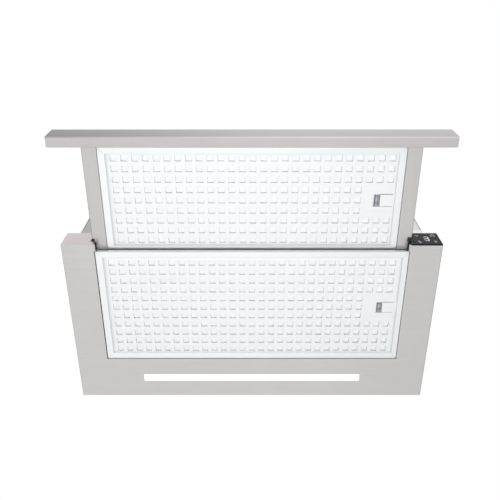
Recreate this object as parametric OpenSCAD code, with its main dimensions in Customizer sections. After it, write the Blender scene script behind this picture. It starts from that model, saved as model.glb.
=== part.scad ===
// Telescopic range hood for a 600 mm wall cabinet, with the visor pulled out.
// The tray and the visor are stainless steel, and the casing above them goes
// inside the cabinet. Two radial blowers draw air through the panel filters
// and push it out through the collar on top.
// X runs to the right, where the touch panel is, Y to the wall and Z up. The
// origin is the centre of the four fixing screws in the casing's top face.

/* [Body] */
// Overall width, the same as the cabinet's
hood_w = 600; // [580:10:700]
// Depth of the tray, from its front faces to the wall
hood_d = 300; // [296:2:320]
// Height from the tray's underside to the casing's top face
hood_h = 180; // [176:2:220]
// Height of the stainless tray below the cabinet
tray_h = 41.6; // [41:0.2:48]
// Width of the tray's side frames
side_w = 50; // [48:1:56]
// Thickness of the cabinet's side boards, which stand on the tray's rim
board_t = 18; // [16:1:19]
// Thickness of the folded sheet metal
sheet = 1; // [0.8:0.1:1.2]

/* [Visor] */
// Travel of the visor from shut to fully out
travel = 156.2; // [140:0.2:158]
// Depth of the handle bar
handle_d = 16.5; // [14:0.5:20]
// Height of the handle bar
handle_h = 38; // [36:1:40]
// Width of the visor's side rails
rail_w = 22.4; // [22:0.2:24]

/* [Filters] */
// Side of the square pockets in the filter panels
pocket = 10; // [8:0.5:11]
// Distance between columns of pockets
pitch_x = 16; // [15:0.5:20]
// Distance between rows of pockets in the front filter
front_pitch = 16.9; // [16:0.1:17.5]
// Distance between rows of pockets in the rear filter
rear_pitch = 16.6; // [16:0.1:17.5]

/* [Light] */
// Distance from each end of the light's window to the hood's side
led_margin = 111.5; // [100:0.5:150]
// Width of the light's window
led_w = 14; // [10:1:16]

/* [Blowers] */
// Outer radius of the two blower wheels
wheel_r = 76; // [70:1:77]
// Number of blades on each wheel
blades = 30; // [20:1:36]

/* [Fixings] */
// Outer diameter of the outlet collar, which the duct slides over
duct_d = 150; // [125:5:150]
// Distance between the fixing screws across the top
fix_x = 480; // [440:10:500]
// Distance between the fixing screws from front to back
fix_y = 220; // [200:5:230]
// Distance between the two screws in each side of the casing
side_fix_y = 180; // [150:10:200]
// Diameter of the holes for the fixing screws
fix_d = 5.5; // [4.5:0.5:6]

/* [Hidden] */
$fn = 48;

// All heights and depths below are counted from the tray's lower front edge.

// Tray and casing
half_w = hood_w / 2;
led_len = hood_w - 2 * led_margin;
open_x = half_w - side_w;
rear_band = 81;
open_y = hood_d - rear_band;
face_in = open_x - 2;
notch_out = open_x + 5.5;
notch_z = 10.6;
lip_h = 9.7;
rim_w = board_t + 12;
case_x = half_w - board_t;
case_y = 6.5;
case_flange = 12;
top_flange = 10;
mid_y = hood_d / 2;
under_top = hood_h - sheet;

// Crossbar and seal under the mouth that the visor comes out of
bar_y = 12.4;
bar_top = 10.4;
seal_t = 0.5;
seal_top = bar_top + 0.3;

// Visor
visor_z = 11;
visor_top_z = 33;
shut_gap = 0.5;
handle_back = -travel - shut_gap;
handle_front = handle_back - handle_d;
rail_out = open_x + 2.5;
rail_in = rail_out - rail_w;
rail_wall = rail_in + 1.9;
arm_end = 85;
visor_bar_y = 12.2;
visor_bar_top = 20.3;

// Filters: half width, front edge, back edge, underside and back border of
// each, then how far its pockets and latch lie behind its middle, and its rows'
// distance
filter_t = 8.8;
skin = 0.8;
border = 10.4;
top_border = 6.8;
mesh_lift = 3.8;
mesh_t = 2;
front_back = bar_y - seal_t - 0.5;
rear_back = open_y - 1.2;
front_filter = [rail_in - 1.8, handle_back + 2.7, front_back, visor_z, 3.6, 1.7, front_pitch];
rear_filter = [open_x - 3, bar_y + sheet + 0.4, rear_back, 0.5, border, 0.7, rear_pitch];
pin_r = 2;
pin_bore_r = 2.06;
pin_in = 3;
front_pins = [3.5, 1.7];
rear_pins = [1.3, 2.1];

// Latches
latch_w = 28.5;
latch_l = 19.5;
latch_in = 13.4;
window_w = 10.7;
latch_travel = 6;
tongue_w = 12;
tongue_z = [2.2, 4.9];
latch_wall = 1.5;
spring_r = 1.4;
spring_y = 5.5;
spring_socket = 8;

// Drawer slides, from the visor's rail outwards
slide_len = 200;
slide_bottom = 13.5;
slide_h = 18;
slide_web = 1.2;
slide_gap = 1.3;
inner_x = [rail_wall + sheet, rail_wall + sheet + 6.4];
middle_x = [inner_x[0] + 4, inner_x[0] + 10.8];
middle_web = inner_x[0] + 7.2;
outer_x = [inner_x[0] + 3.5, inner_x[0] + 13];
inner_y = arm_end - 5 - slide_len;
outer_y = bar_y;
outer_len = open_y + 33 - outer_y;
middle_y = outer_y + 10 - travel / 2;
bracket_leg = 26;
ball_r = 0.6;

// Touch panel
glass_t = 2;
housing_x = [notch_out + 0.5, half_w - sheet];
housing_d = 24;

// Light
led_mid = hood_d - 39.5;
led_wall_h = 10;
led_corner = 2;

// Blowers
blower_side = 135;
blower_x = half_w - blower_side;
scroll_h = 105;
scroll_z = hood_h - scroll_h;
plastic = 1.5;
scroll_r0 = wheel_r + 8;
scroll_growth = 28;
scroll_r1 = scroll_r0 + scroll_growth;
port_w = 52;
port_x = 89;
cut_angle = 40;
plenum_x = blower_x - port_x;
plenum_d = 204;
plenum_back = mid_y + scroll_r1 + 2;
plenum_y = [plenum_back - plenum_d, plenum_back];
eye_r = wheel_r - 14;
wheel_z = [scroll_z + 9, scroll_z + 75];
cup_r = 40;
hub_r = 9;
shaft_r = 4;
shaft_fit = 0.05;
shaft_len = 70;
shaft_out = 20;
motor_r = 36;
motor_z = [scroll_z + 30, scroll_z + 93];
ear_t = 2;
ear_r = 50;
grommet_r = 5;
screw_r = 2;
screw_hole_r = 2.1;
head_r = 3.6;
head_t = 2;

// Outlet
duct_r = duct_d / 2;
collar_wall = 1.5;
collar_top = hood_h + 38;
ledge_z = hood_h + 3;
ledge_in = duct_r - 7;
flange_r = duct_r + 15;
collar_screw_r = duct_r + 9;
axle_r = 1.5;
axle_z = ledge_z + 3;
axle_fit = 0.07;
barrel_r = 2.6;
barrel_l = 20;
flap_t = 1;
flap_z = ledge_z + 0.2;
barrels_front = [-60, 10];
barrels_rear = [-30, 40];

// Mains inlet
gland = [half_w - 75, case_y + 25.5];
// Terminal box round the gland, its wall, and the terminal strip in it
terminal_x = [-20, 40];
terminal_half_w = 14;
terminal_h = 33;
box_wall = 1.5;
strip_x = [-12, 24];
strip_half_w = 5;
strip_h = 12;
// Foot that holds the run capacitor
foot_half_w = 7.5;
foot_half_h = 11;
cable_r = 3.5;

// Run capacitor: radius, length, height of its axis and distance from the casing's side
capacitor_r = 15;
capacitor_len = 55;
capacitor_z = 120;
capacitor_in = 17;

// Colours, as the photograph shows them
steel = [0.76, 0.75, 0.74];
filter_grey = [0.93, 0.94, 0.95];
zinc = [0.68, 0.69, 0.7];
black = [0.08, 0.08, 0.09];
board_green = [0.1, 0.35, 0.2];

// Limits at equal distances either side of a middle
function around(middle, half) = [middle - half, middle + half];

// Limits counted from a base
function above(base, limits) = [for (v = limits) base + v];

// A box given by its limits along X, Y and Z
module span(x, y, z) {
    translate([x[0], y[0], z[0]]) cube([x[1] - x[0], y[1] - y[0], z[1] - z[0]]);
}

// The same piece on the right and, mirrored, on the left
module both_sides() {
    children();
    mirror([1, 0, 0]) children();
}

// From the tray's lower front edge to the part's own origin
module placed() {
    translate([0, -mid_y, -hood_h]) children();
}

module rod_x(x, y, z, r) {
    translate([x[0], y, z]) rotate([0, 90, 0]) cylinder(h = x[1] - x[0], r = r);
}

module rod_y(x, y, z, r) {
    translate([x, y[1], z]) rotate([90, 0, 0]) cylinder(h = y[1] - y[0], r = r);
}

// Stainless tray: U-shaped underside, side walls, front face and top rim
module tray() {
    color(steel) placed() difference() {
        union() {
            difference() {
                span([-half_w, half_w], [0, hood_d], [0, sheet]);
                span([-open_x, open_x], [-1, open_y], [-1, sheet + 1]);
                translate([0, led_mid, -1]) led_plate(0, sheet + 2);
            }
            both_sides() {
                span([half_w - sheet, half_w], [0, hood_d], [0, tray_h]);
                span([half_w - rim_w, half_w], [0, hood_d], [tray_h - sheet, tray_h]);
                span([open_x, open_x + sheet], [bar_y - 0.4, open_y + sheet], [0, lip_h]);
                span([face_in, half_w], [0, sheet], [0, tray_h]);
            }
            span([-half_w, half_w], [hood_d - sheet, hood_d], [0, tray_h]);
            span([-half_w, half_w], [hood_d - case_flange, hood_d], [tray_h - sheet, tray_h]);
            span([-open_x, open_x], [open_y, open_y + sheet], [0, lip_h]);
        }
        both_sides() span([0, notch_out], [-1, bar_y - 1], [notch_z, tray_h + 1]);
        span([0, half_w + 1], [-1, glass_t], [-1, tray_h + 1]);
        rod_y(pin_in - rear_filter[0], [open_y - 1, open_y + 2], rear_filter[3] + filter_t / 2, pin_bore_r);
    }
}

// Plate with rounded corners, in the shape of the light's window
module led_plate(gap, h) {
    x = led_len / 2 - gap;
    y = led_w / 2 - gap;
    span([led_corner - x, x - led_corner], [-y, y], [0, h]);
    span([-x, x], [led_corner - y, y - led_corner], [0, h]);
    for (a = [led_corner - x, x - led_corner], b = [led_corner - y, y - led_corner])
        translate([a, b, 0]) cylinder(h = h, r = led_corner);
}

// Polished crossbar that the fixed filter hangs behind
module front_crossbar() {
    color([0.8, 0.8, 0.8]) placed() difference() {
        union() {
            span([-open_x, open_x], [bar_y, bar_y + sheet], [0.4, bar_top]);
            span([-open_x + 12, open_x - 12], [bar_y, bar_y + 12], [bar_top - 0.8, bar_top]);
        }
        rod_y(pin_in - rear_filter[0], [bar_y - 1, bar_y + 2], rear_filter[3] + filter_t / 2, pin_bore_r);
    }
}

// Black rubber lip between the crossbar and the visor
module visor_seal() {
    color(black) placed() {
        span([-open_x, open_x], [bar_y - seal_t, bar_y], [5, seal_top]);
        span([-open_x, open_x], [bar_y - seal_t, bar_y + sheet], [bar_top, seal_top]);
    }
}

// Black guides at the corners of the mouth, below and outside the rails
module corner_guides() {
    color(black) placed() {
        corner_guide(glass_t);
        mirror([1, 0, 0]) corner_guide(sheet);
    }
}

module corner_guide(front) {
    y = [front, bar_y - seal_t];
    outer = notch_out - 0.2;
    low = visor_z - 2.4;
    span([open_x - 4, outer], y, [low, visor_z - 0.3]);
    span([rail_out + 0.8, outer], y, [low, visor_top_z + 2]);
}

// Black glass touch panel that closes the right side frame's front
module control_glass() {
    color([0.14, 0.14, 0.15]) placed() difference() {
        span([face_in, half_w - 0.3], [0, glass_t], [0, tray_h]);
        span([face_in - 1, notch_out], [-1, glass_t + 1], [notch_z, tray_h + 1]);
    }
}

// Plastic box behind the glass, with four posts for the circuit board
module control_housing() {
    depth = [glass_t, glass_t + housing_d];
    height = [sheet, tray_h - sheet];
    color(black) placed() {
        difference() {
            span(housing_x, depth, height);
            span(housing_x + [1.5, -1.5], [depth[0] - 1, depth[1] - 1.5], height + [1.5, -1.5]);
        }
        for (x = housing_x + [6, -6], z = height + [6, -6])
            rod_y(x, [depth[0] + 11.6, depth[1] - 1], z, 2.5);
    }
}

// Circuit board with the digit display behind the glass
module control_board() {
    color(board_green) placed() {
        span(housing_x + [2.5, -2.5], [glass_t + 10, glass_t + 11.6], [sheet + 2.5, tray_h - sheet - 2.5]);
        span([half_w - 30, half_w - 14], [glass_t + 3, glass_t + 10], [12, 28]);
    }
}

// Frosted window of the light, with side walls that carry the strip
module led_diffuser() {
    x = led_len / 2;
    y = led_w / 2;
    color([1, 1, 1]) placed() translate([0, led_mid, 0]) difference() {
        union() {
            led_plate(0.1, sheet + 1);
            span([-x - 4, x + 4], [-y - 3, y + 3], [sheet, sheet + 1.5]);
            span([-x - 2, x + 2], [-y - 1.5, y + 1.5], [sheet, led_wall_h]);
        }
        span([-x + 0.5, x - 0.5], [-y + 0.5, y - 0.5], [sheet + 1.5, led_wall_h + 1]);
    }
}

// Aluminium strip with its row of light-emitting diodes facing down
module led_board() {
    count = 24;
    step = led_len / count;
    color([0.95, 0.95, 0.93]) placed() translate([0, led_mid, led_wall_h]) {
        span([-led_len / 2 - 2, led_len / 2 + 2], [-led_w / 2 - 1.5, led_w / 2 + 1.5], [0, 1.6]);
        for (i = [0 : count - 1])
            translate([(i + 0.5) * step - led_len / 2, 0, -0.4]) cube([2.8, 3.5, 0.8], center = true);
    }
}

module led_driver() {
    color([0.9, 0.9, 0.9]) placed()
        span([half_w - 95, half_w - 25], [hood_d - 43, hood_d - 5], [sheet, sheet + 24]);
}

// Folded casing that stands inside the cabinet: four walls and two flanges
module casing_shell() {
    z = [tray_h, under_top];
    color(zinc) placed() difference() {
        span([-case_x, case_x], [case_y, hood_d], z);
        span([sheet - case_x, case_x - sheet], [case_y + sheet, hood_d - sheet], z + [sheet, -sheet]);
        span([case_flange - case_x, case_x - case_flange],
            [case_y + sheet, hood_d - case_flange], z - [1, 5]);
        span([top_flange - case_x, case_x - top_flange],
            [case_y + top_flange, hood_d - top_flange], z + [5, 1]);
        for (s = [-1, 1])
            rod_x([-case_x - 1, case_x + 1], mid_y + s * side_fix_y / 2, 110, fix_d / 2);
    }
}

// Flat top with the outlet, the cable inlet and the screw holes
module casing_top() {
    color(zinc) placed() difference() {
        span([-case_x, case_x], [case_y, hood_d], [under_top, hood_h]);
        translate([0, mid_y, under_top - 1]) cylinder(h = sheet + 2, r = ledge_in + 1, $fn = 96);
        translate([0, 0, under_top - 1]) {
            for (x = [-1, 1], y = [-1, 1])
                translate([x * fix_x / 2, mid_y + y * fix_y / 2, 0]) cylinder(h = sheet + 2, r = fix_d / 2);
            translate([gland[0], gland[1], 0]) cylinder(h = sheet + 2, r = 8);
            top_screw_places() cylinder(h = sheet + 2, r = screw_hole_r);
        }
    }
}

// Angle that closes the casing's lower front edge above the visor
module casing_lintel() {
    color([0.88, 0.88, 0.88]) placed() {
        span([-case_x, case_x], [case_y - 1.2, case_y], [tray_h, tray_h + 22]);
        span([-open_x - 3, open_x + 3], [case_y - 1.2, case_y], [36, tray_h + 22]);
        span([-open_x + 10, open_x - 10], [case_y - 1.2, 24], [36, 37]);
    }
}

// Outline of the left blower's scroll, whose radius grows clockwise from the cut
function spiral(inset) = concat(
    [for (i = [0 : 31])
        let (a = cut_angle - i * (cut_angle + 270) / 31, r = scroll_r0 + scroll_growth * i / 31 - inset)
        [r * cos(a), r * sin(a)]],
    [[port_x + (inset > 0 ? 1 : 0), scroll_r1 - inset],
     [port_x + (inset > 0 ? 1 : 0), scroll_r1 - port_w + inset]]
);

// Scroll housing: a floor with the inlet, and a wall up to the casing's top
module scroll() {
    height = under_top - scroll_z;
    translate([-blower_x, mid_y, scroll_z]) difference() {
        linear_extrude(height) polygon(spiral(0));
        translate([0, 0, plastic]) linear_extrude(height) polygon(spiral(plastic));
        translate([0, 0, -1]) cylinder(h = plastic + 2, r = eye_r, $fn = 72);
    }
}

module scroll_left() {
    color([0.82, 0.82, 0.82]) placed() scroll();
}

module scroll_right() {
    color([0.82, 0.82, 0.82]) placed() mirror([1, 0, 0]) scroll();
}

// Box under the collar that gathers both blowers' air
module outlet_plenum() {
    z = [scroll_z, under_top];
    port_y = above(mid_y, [scroll_r1 - port_w, scroll_r1]);
    color([0.82, 0.82, 0.82]) placed() difference() {
        span([-plenum_x, plenum_x], plenum_y, z);
        span([plastic - plenum_x, plenum_x - plastic], plenum_y + [plastic, -plastic], z + [plastic, 1]);
        span([-plenum_x - 1, plenum_x + 1], port_y + [plastic, -plastic], z + [plastic, 1]);
    }
}

// Inlet rings with finger guards, under the scrolls' floors
module inlet_guards() {
    color(black) placed() both_sides() translate([blower_x, mid_y, scroll_z - 1.5]) {
        ring(eye_r + 8, eye_r - 2, 1.5);
        ring(eye_r - 0.1, eye_r - 2, 8);
        for (r = [12 : 12 : eye_r - 12]) ring(r + 1, r - 1, 1.5);
        for (a = [0 : 60 : 179])
            rotate([0, 0, a]) translate([1 - eye_r, -1, 0]) cube([2 * eye_r - 2, 2, 1.5]);
    }
}

module ring(outer, inner, h) {
    difference() {
        cylinder(h = h, r = outer, $fn = 72);
        translate([0, 0, -1]) cylinder(h = h + 2, r = inner, $fn = 72);
    }
}

module ear_places() {
    for (a = [90 : 120 : 330]) rotate([0, 0, a]) translate([ear_r, 0, 0]) children();
}

// Motor can with a bore for the shaft and three ears for its mounts
module motor() {
    translate([blower_x, mid_y, 0]) difference() {
        union() {
            translate([0, 0, motor_z[0]]) cylinder(h = motor_z[1] - motor_z[0], r = motor_r);
            translate([0, 0, motor_z[1] - ear_t]) ear_places() cylinder(h = ear_t, r = 6.5);
            for (a = [90 : 120 : 330])
                rotate([0, 0, a]) translate([0, -6.5, motor_z[1] - ear_t]) cube([ear_r, 13, ear_t]);
        }
        translate([0, 0, motor_z[0] - 1]) cylinder(h = shaft_len - shaft_out + 6, r = shaft_r + shaft_fit);
        translate([0, 0, motor_z[1] - ear_t - 1]) ear_places() cylinder(h = ear_t + 2, r = screw_hole_r);
    }
}

module motor_left() {
    color([0.55, 0.56, 0.58]) placed() mirror([1, 0, 0]) motor();
}

module motor_right() {
    color([0.55, 0.56, 0.58]) placed() motor();
}

// Rubber spacers between the motors' ears and the casing's top
module motor_grommets() {
    h = under_top - motor_z[1];
    color(black) placed() both_sides() translate([blower_x, mid_y, motor_z[1]])
        ear_places() ring(grommet_r, screw_hole_r, h);
}

module top_screw_places() {
    both_sides() translate([blower_x, mid_y, 0]) ear_places() children();
    translate([0, mid_y, 0])
        for (a = [45 : 90 : 315]) rotate([0, 0, a]) translate([collar_screw_r, 0, 0]) children();
}

// Pan-head screws for the motors and, through its flange, the collar
module top_screws() {
    color([0.7, 0.7, 0.72]) placed() {
        both_sides() translate([blower_x, mid_y, 0]) ear_places() screw(hood_h, hood_h - motor_z[1] + 4);
        translate([0, mid_y, 0])
            for (a = [45 : 90 : 315]) rotate([0, 0, a]) translate([collar_screw_r, 0, 0])
                screw(hood_h + collar_wall, 8);
    }
}

module screw(seat, length) {
    translate([0, 0, seat]) cylinder(h = head_t, r = head_r);
    translate([0, 0, seat - length]) cylinder(h = length + 1, r = screw_r);
}

// One forward-curved blade, a thin crescent between the eye and the rim
module blade() {
    steps = 5;
    thick = 1.2;
    radii = [for (i = [0 : steps]) eye_r + (wheel_r - 0.5 - eye_r) * i / steps];
    angles = [for (i = [0 : steps]) 14 * pow(i / steps, 2)];
    polygon(concat(
        [for (i = [0 : steps]) radii[i] * [cos(angles[i]), sin(angles[i])]],
        [for (i = [steps : -1 : 0])
            let (a = angles[i] + thick / radii[i] * 180 / PI) radii[i] * [cos(a), sin(a)]]
    ));
}

// Blower wheel: blades between two rings, and a cup that leaves room for the motor
module impeller() {
    wall = 1.5;
    cup_floor = motor_z[0] - 11;
    translate([blower_x, mid_y, 0]) {
        rotate_extrude($fn = 96) polygon([
            [shaft_r, cup_floor - 6], [hub_r, cup_floor - 6], [hub_r, cup_floor],
            [cup_r + wall, cup_floor], [cup_r + wall, wheel_z[1] - wall], [wheel_r, wheel_z[1] - wall],
            [wheel_r, wheel_z[1]], [cup_r, wheel_z[1]], [cup_r, cup_floor + wall],
            [hub_r, cup_floor + wall], [hub_r, cup_floor + 5], [shaft_r, cup_floor + 5]
        ]);
        translate([0, 0, wheel_z[0]]) ring(wheel_r, eye_r - 1, 2);
        translate([0, 0, wheel_z[0] + 1]) linear_extrude(wheel_z[1] - wall - wheel_z[0] - 0.5)
            for (i = [0 : blades - 1]) rotate([0, 0, i * 360 / blades]) blade();
    }
}

module impeller_left() {
    color([0.3, 0.31, 0.33]) placed() mirror([1, 0, 0]) impeller();
}

module impeller_right() {
    color([0.3, 0.31, 0.33]) placed() impeller();
}

module motor_shaft() {
    translate([blower_x, mid_y, motor_z[0] - shaft_out]) cylinder(h = shaft_len, r = shaft_r);
}

module motor_shaft_left() {
    color([0.8, 0.8, 0.82]) placed() mirror([1, 0, 0]) motor_shaft();
}

module motor_shaft_right() {
    color([0.8, 0.8, 0.82]) placed() motor_shaft();
}

// Run capacitor on its foot against the casing's front wall
module run_capacitor() {
    y = case_y + sheet + capacitor_r;
    x = capacitor_in - case_x;
    color([0.85, 0.86, 0.88]) placed() {
        rod_x([x, x + capacitor_len], y, capacitor_z, capacitor_r);
        span(around(x + capacitor_len / 2, foot_half_w), [case_y + sheet, y], around(capacitor_z, foot_half_h));
    }
}

// Box for the mains terminals, hung under the casing's top
module terminal_box() {
    x = above(gland[0], terminal_x);
    y = around(gland[1], terminal_half_w);
    z = [under_top - terminal_h, under_top];
    color([0.2, 0.2, 0.21]) placed() {
        difference() {
            span(x, y, z);
            span(x + [box_wall, -box_wall], y + [box_wall, -box_wall], z + [box_wall, 1]);
        }
        span(above(gland[0], strip_x), around(gland[1], strip_half_w), [z[0] + box_wall, z[0] + strip_h]);
    }
}

// Gland for the mains cable, with its nut inside the terminal box
module cable_gland() {
    color([0.15, 0.15, 0.16]) placed() translate([gland[0], gland[1], 0]) difference() {
        union() {
            translate([0, 0, hood_h]) cylinder(h = 4, r = 10.5, $fn = 6);
            translate([0, 0, hood_h + 4]) cylinder(h = 10, r = 8);
            translate([0, 0, under_top - 6]) cylinder(h = 8, r = 8);
            translate([0, 0, under_top - 4]) cylinder(h = 4, r = 10.5, $fn = 6);
        }
        translate([0, 0, under_top - 7]) cylinder(h = 24, r = cable_r);
    }
}

// Cables between the terminal box, the touch panel, the driver and the light
module wiring_loom() {
    drop_x = half_w - 39;
    side_x = half_w - 6;
    led_y = led_mid + 1.5;
    driver_x = [half_w - 95, half_w - 25];
    driver_y = hood_d - 24;
    color([0.85, 0.85, 0.85]) placed() {
        translate([drop_x, gland[1] - 8, tray_h - sheet])
            cylinder(h = under_top - terminal_h - tray_h + sheet, r = 2.2);
        rod_y(side_x, [glass_t + housing_d, driver_y], 12, 2);
        translate([side_x, driver_y, 12]) sphere(r = 2);
        rod_x([driver_x[1], side_x], driver_y, 12, 2);
        rod_x([led_len / 2 + 2, driver_x[0]], led_y, led_wall_h + 1.6, 1.6);
    }
}

// Collar on the casing's top, with a ledge for the flaps and eyes for their axle
module outlet_collar() {
    eye_x = ledge_in + 1;
    color([0.13, 0.13, 0.14]) placed() translate([0, mid_y, 0]) difference() {
        union() {
            rotate_extrude($fn = 120) polygon([
                [ledge_in, hood_h], [flange_r, hood_h], [flange_r, hood_h + collar_wall],
                [duct_r, hood_h + collar_wall], [duct_r, collar_top],
                [duct_r - collar_wall, collar_top], [duct_r - collar_wall, ledge_z], [ledge_in, ledge_z]
            ]);
            both_sides() span([eye_x, duct_r - 1], [-4, 4], [ledge_z - 0.5, axle_z + 3]);
        }
        rod_x([-duct_r + 0.5, duct_r - 0.5], 0, axle_z, axle_r);
        for (a = [45 : 90 : 315])
            rotate([0, 0, a]) translate([collar_screw_r, 0, hood_h - 1]) cylinder(h = 4, r = screw_hole_r);
    }
}

module flap_axle() {
    color([0.75, 0.75, 0.77]) placed()
        rod_x([-duct_r + 0.5, duct_r - 0.5], mid_y, axle_z, axle_r);
}

// Half-round non-return flap: mine are its own barrels, others the other flap's
module flap(mine, others) {
    flap_r = duct_r - collar_wall - 2;
    translate([0, mid_y, 0]) {
        translate([0, 0, flap_z]) linear_extrude(flap_t) difference() {
            circle(r = flap_r, $fn = 96);
            translate([-flap_r - 1, -1]) square([2 * flap_r + 2, flap_r + 2]);
            for (x = others) translate([x - 1, -3.6]) square([barrel_l + 2, 4]);
            both_sides() translate([ledge_in - 1, -5.6]) square([10, 6]);
        }
        for (x = mine) difference() {
            union() {
                rod_x([x, x + barrel_l], 0, axle_z, barrel_r);
                span([x, x + barrel_l], [-3.2, -1], [flap_z, axle_z - 1.8]);
            }
            rod_x([x - 1, x + barrel_l + 1], 0, axle_z, axle_r + axle_fit);
        }
    }
}

module flap_front() {
    color([0.3, 0.3, 0.31]) placed() flap(barrels_front, barrels_rear);
}

module flap_rear() {
    color([0.3, 0.3, 0.31]) placed()
        translate([0, 2 * mid_y, 0]) mirror([0, 1, 0]) flap(barrels_rear, barrels_front);
}

// Steel angles that hang the drawer slides from the tray's rim
module slide_brackets() {
    x = outer_x[1];
    color(zinc) placed() both_sides() {
        span([x, x + 1.2], [outer_y, outer_y + outer_len], [slide_bottom, tray_h - sheet]);
        span([x, half_w - 10], [bracket_leg, outer_y + outer_len], [tray_h - sheet - 1, tray_h - sheet]);
    }
}

// A C-shaped slide member: its web's limits along X, its flanges' far edge and its level
module slide_member(web, far, y, inset) {
    z = above(slide_bottom, [inset, slide_h - inset]);
    span(web, y, z);
    span([min(web[0], far), max(web[1], far)], y, [z[0], z[0] + 1]);
    span([min(web[0], far), max(web[1], far)], y, [z[1] - 1, z[1]]);
}

module slide_outer() {
    slide_member([outer_x[1] - slide_web, outer_x[1]], outer_x[0], [outer_y, outer_y + outer_len], 0);
}

// The middle member carries the balls of both races
module slide_middle() {
    inset = 1 + slide_gap;
    z = above(slide_bottom, [inset, slide_h - inset]);
    slide_member([middle_web, middle_web + slide_web], middle_x[0], [middle_y, middle_y + slide_len], inset);
    slide_member([middle_web, middle_web + slide_web], middle_x[1], [middle_y, middle_y + slide_len], inset);
    for (i = [0 : 4]) {
        for (s = [z[0] - ball_r + 0.05, z[1] + ball_r - 0.05])
            translate([middle_x[0] + 3.4, middle_y + slide_len - 84 + i * 20, s]) sphere(r = ball_r, $fn = 24);
        for (s = [z[0] + 1 + ball_r - 0.05, z[1] - 1 - ball_r + 0.05])
            translate([middle_x[0] + 1, middle_y + 16 + i * 20, s]) sphere(r = ball_r, $fn = 24);
    }
}

module slide_inner() {
    slide_member([inner_x[0], inner_x[0] + slide_web], inner_x[1],
        [inner_y, inner_y + slide_len], 2 + 2 * slide_gap);
}

module slide_outer_left() {
    color(zinc) placed() mirror([1, 0, 0]) slide_outer();
}

module slide_outer_right() {
    color(zinc) placed() slide_outer();
}

module slide_middle_left() {
    color(zinc) placed() mirror([1, 0, 0]) slide_middle();
}

module slide_middle_right() {
    color(zinc) placed() slide_middle();
}

module slide_inner_left() {
    color(zinc) placed() mirror([1, 0, 0]) slide_inner();
}

module slide_inner_right() {
    color(zinc) placed() slide_inner();
}

// Full-width bar that the visor is pulled out by
module visor_handle() {
    color(steel) placed() difference() {
        span([-half_w, half_w], [handle_front, handle_back], [0, handle_h]);
        span([-half_w - 1, half_w + 1], [handle_front + sheet, handle_back - sheet], [sheet, handle_h - sheet]);
        rod_y(pin_in - front_filter[0], [handle_back - sheet - 1, handle_back + 1],
            visor_z + filter_t / 2, pin_bore_r);
    }
}

module handle_end_caps() {
    color(steel) placed() both_sides()
        span([half_w - 1.5, half_w], [handle_front + sheet, handle_back - sheet], [sheet, handle_h - sheet]);
}

// Visor side rail: visible underside, inner wall and outer lip
module visor_rail() {
    y = [handle_back, arm_end];
    span([rail_in, rail_out], y, [visor_z, visor_z + sheet]);
    span([rail_wall, rail_wall + sheet], y, [visor_z, visor_top_z]);
    span([rail_out - sheet, rail_out], y, [visor_z, visor_top_z]);
}

module visor_rail_left() {
    color(steel) placed() mirror([1, 0, 0]) visor_rail();
}

module visor_rail_right() {
    color(steel) placed() visor_rail();
}

// Bar behind the front filter, low enough to leave the air path open above it
module visor_crossbar() {
    color(steel) placed() difference() {
        union() {
            span([-rail_wall, rail_wall], [visor_bar_y, visor_bar_y + sheet],
                [visor_z + sheet, visor_bar_top]);
            span([-rail_wall, rail_wall], [visor_bar_y, visor_bar_y + 13],
                [visor_bar_top - sheet, visor_bar_top]);
        }
        rod_y(pin_in - front_filter[0], [visor_bar_y - 1, visor_bar_y + sheet + 1],
            visor_z + filter_t / 2, pin_bore_r);
    }
}

module visor_top() {
    x = rail_wall + sheet;
    color(steel) placed() {
        span([-x, x], [handle_back, visor_bar_y + 13], [visor_top_z, visor_top_z + 0.8]);
        span([-x + 5, x - 5], [handle_back, handle_back + 0.8], [visor_z + 12, visor_top_z]);
    }
}

function filter_mid(f) = (f[1] + f[2]) / 2 + f[5];
function latch_x(f) = [f[0] - latch_in - latch_w, f[0] - latch_in];

// Centres of the pockets, leaving three columns by three rows for the latch
function pockets(f) =
    let (
        half_cols = floor((f[0] - 18) / pitch_x),
        rows = floor((f[2] - f[1] - 20 - pocket) / f[6]) + 1
    )
    [for (i = [-half_cols : half_cols], j = [0 : rows - 1])
        let (y = (j - (rows - 1) / 2) * f[6])
        if (i < half_cols - 2 || abs(y) > f[6] * 1.6) [i * pitch_x, filter_mid(f) + y]];

// Channel frame round a filter, with its two hinge pins and the tongue's slot
module filter_frame(f, pins) {
    x = [-f[0], f[0]];
    y = [f[1], f[2]];
    z = [f[3], f[3] + filter_t];
    in = [1, -1];
    difference() {
        union() {
            difference() {
                span(x, y, z);
                span(x + skin * in, y + skin * in, z + skin * in);
                span(x + border * in, y + [border, -f[4]], z - [1, 4]);
                span(x + top_border * in, y + top_border * in, z + [4, 1]);
            }
            rod_y(pin_in - f[0], [f[1] - pins[0], f[1] + skin], f[3] + filter_t / 2, pin_r);
            rod_y(pin_in - f[0], [f[2] - skin, f[2] + pins[1]], f[3] + filter_t / 2, pin_r);
        }
        span([f[0] - skin - 1, f[0] + 1], around(filter_mid(f), tongue_w / 2 + 0.4),
            above(f[3], tongue_z + [-0.3, 0.3]));
    }
}

// Face panel with its square pockets, lying on the frame's lower flange
module filter_face(f) {
    x = f[0] - skin;
    latch = latch_x(f) + [-latch_wall, latch_wall];
    latch_y = around(filter_mid(f), latch_l / 2 + latch_wall);
    translate([0, 0, f[3] + skin]) linear_extrude(skin) difference() {
        translate([-x, f[1] + skin]) square([2 * x, f[2] - f[1] - 2 * skin]);
        for (c = pockets(f)) translate(c) square(pocket, center = true);
        translate([latch[0], latch_y[0]]) square([latch[1] - latch[0], latch_y[1] - latch_y[0]]);
    }
}

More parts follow.
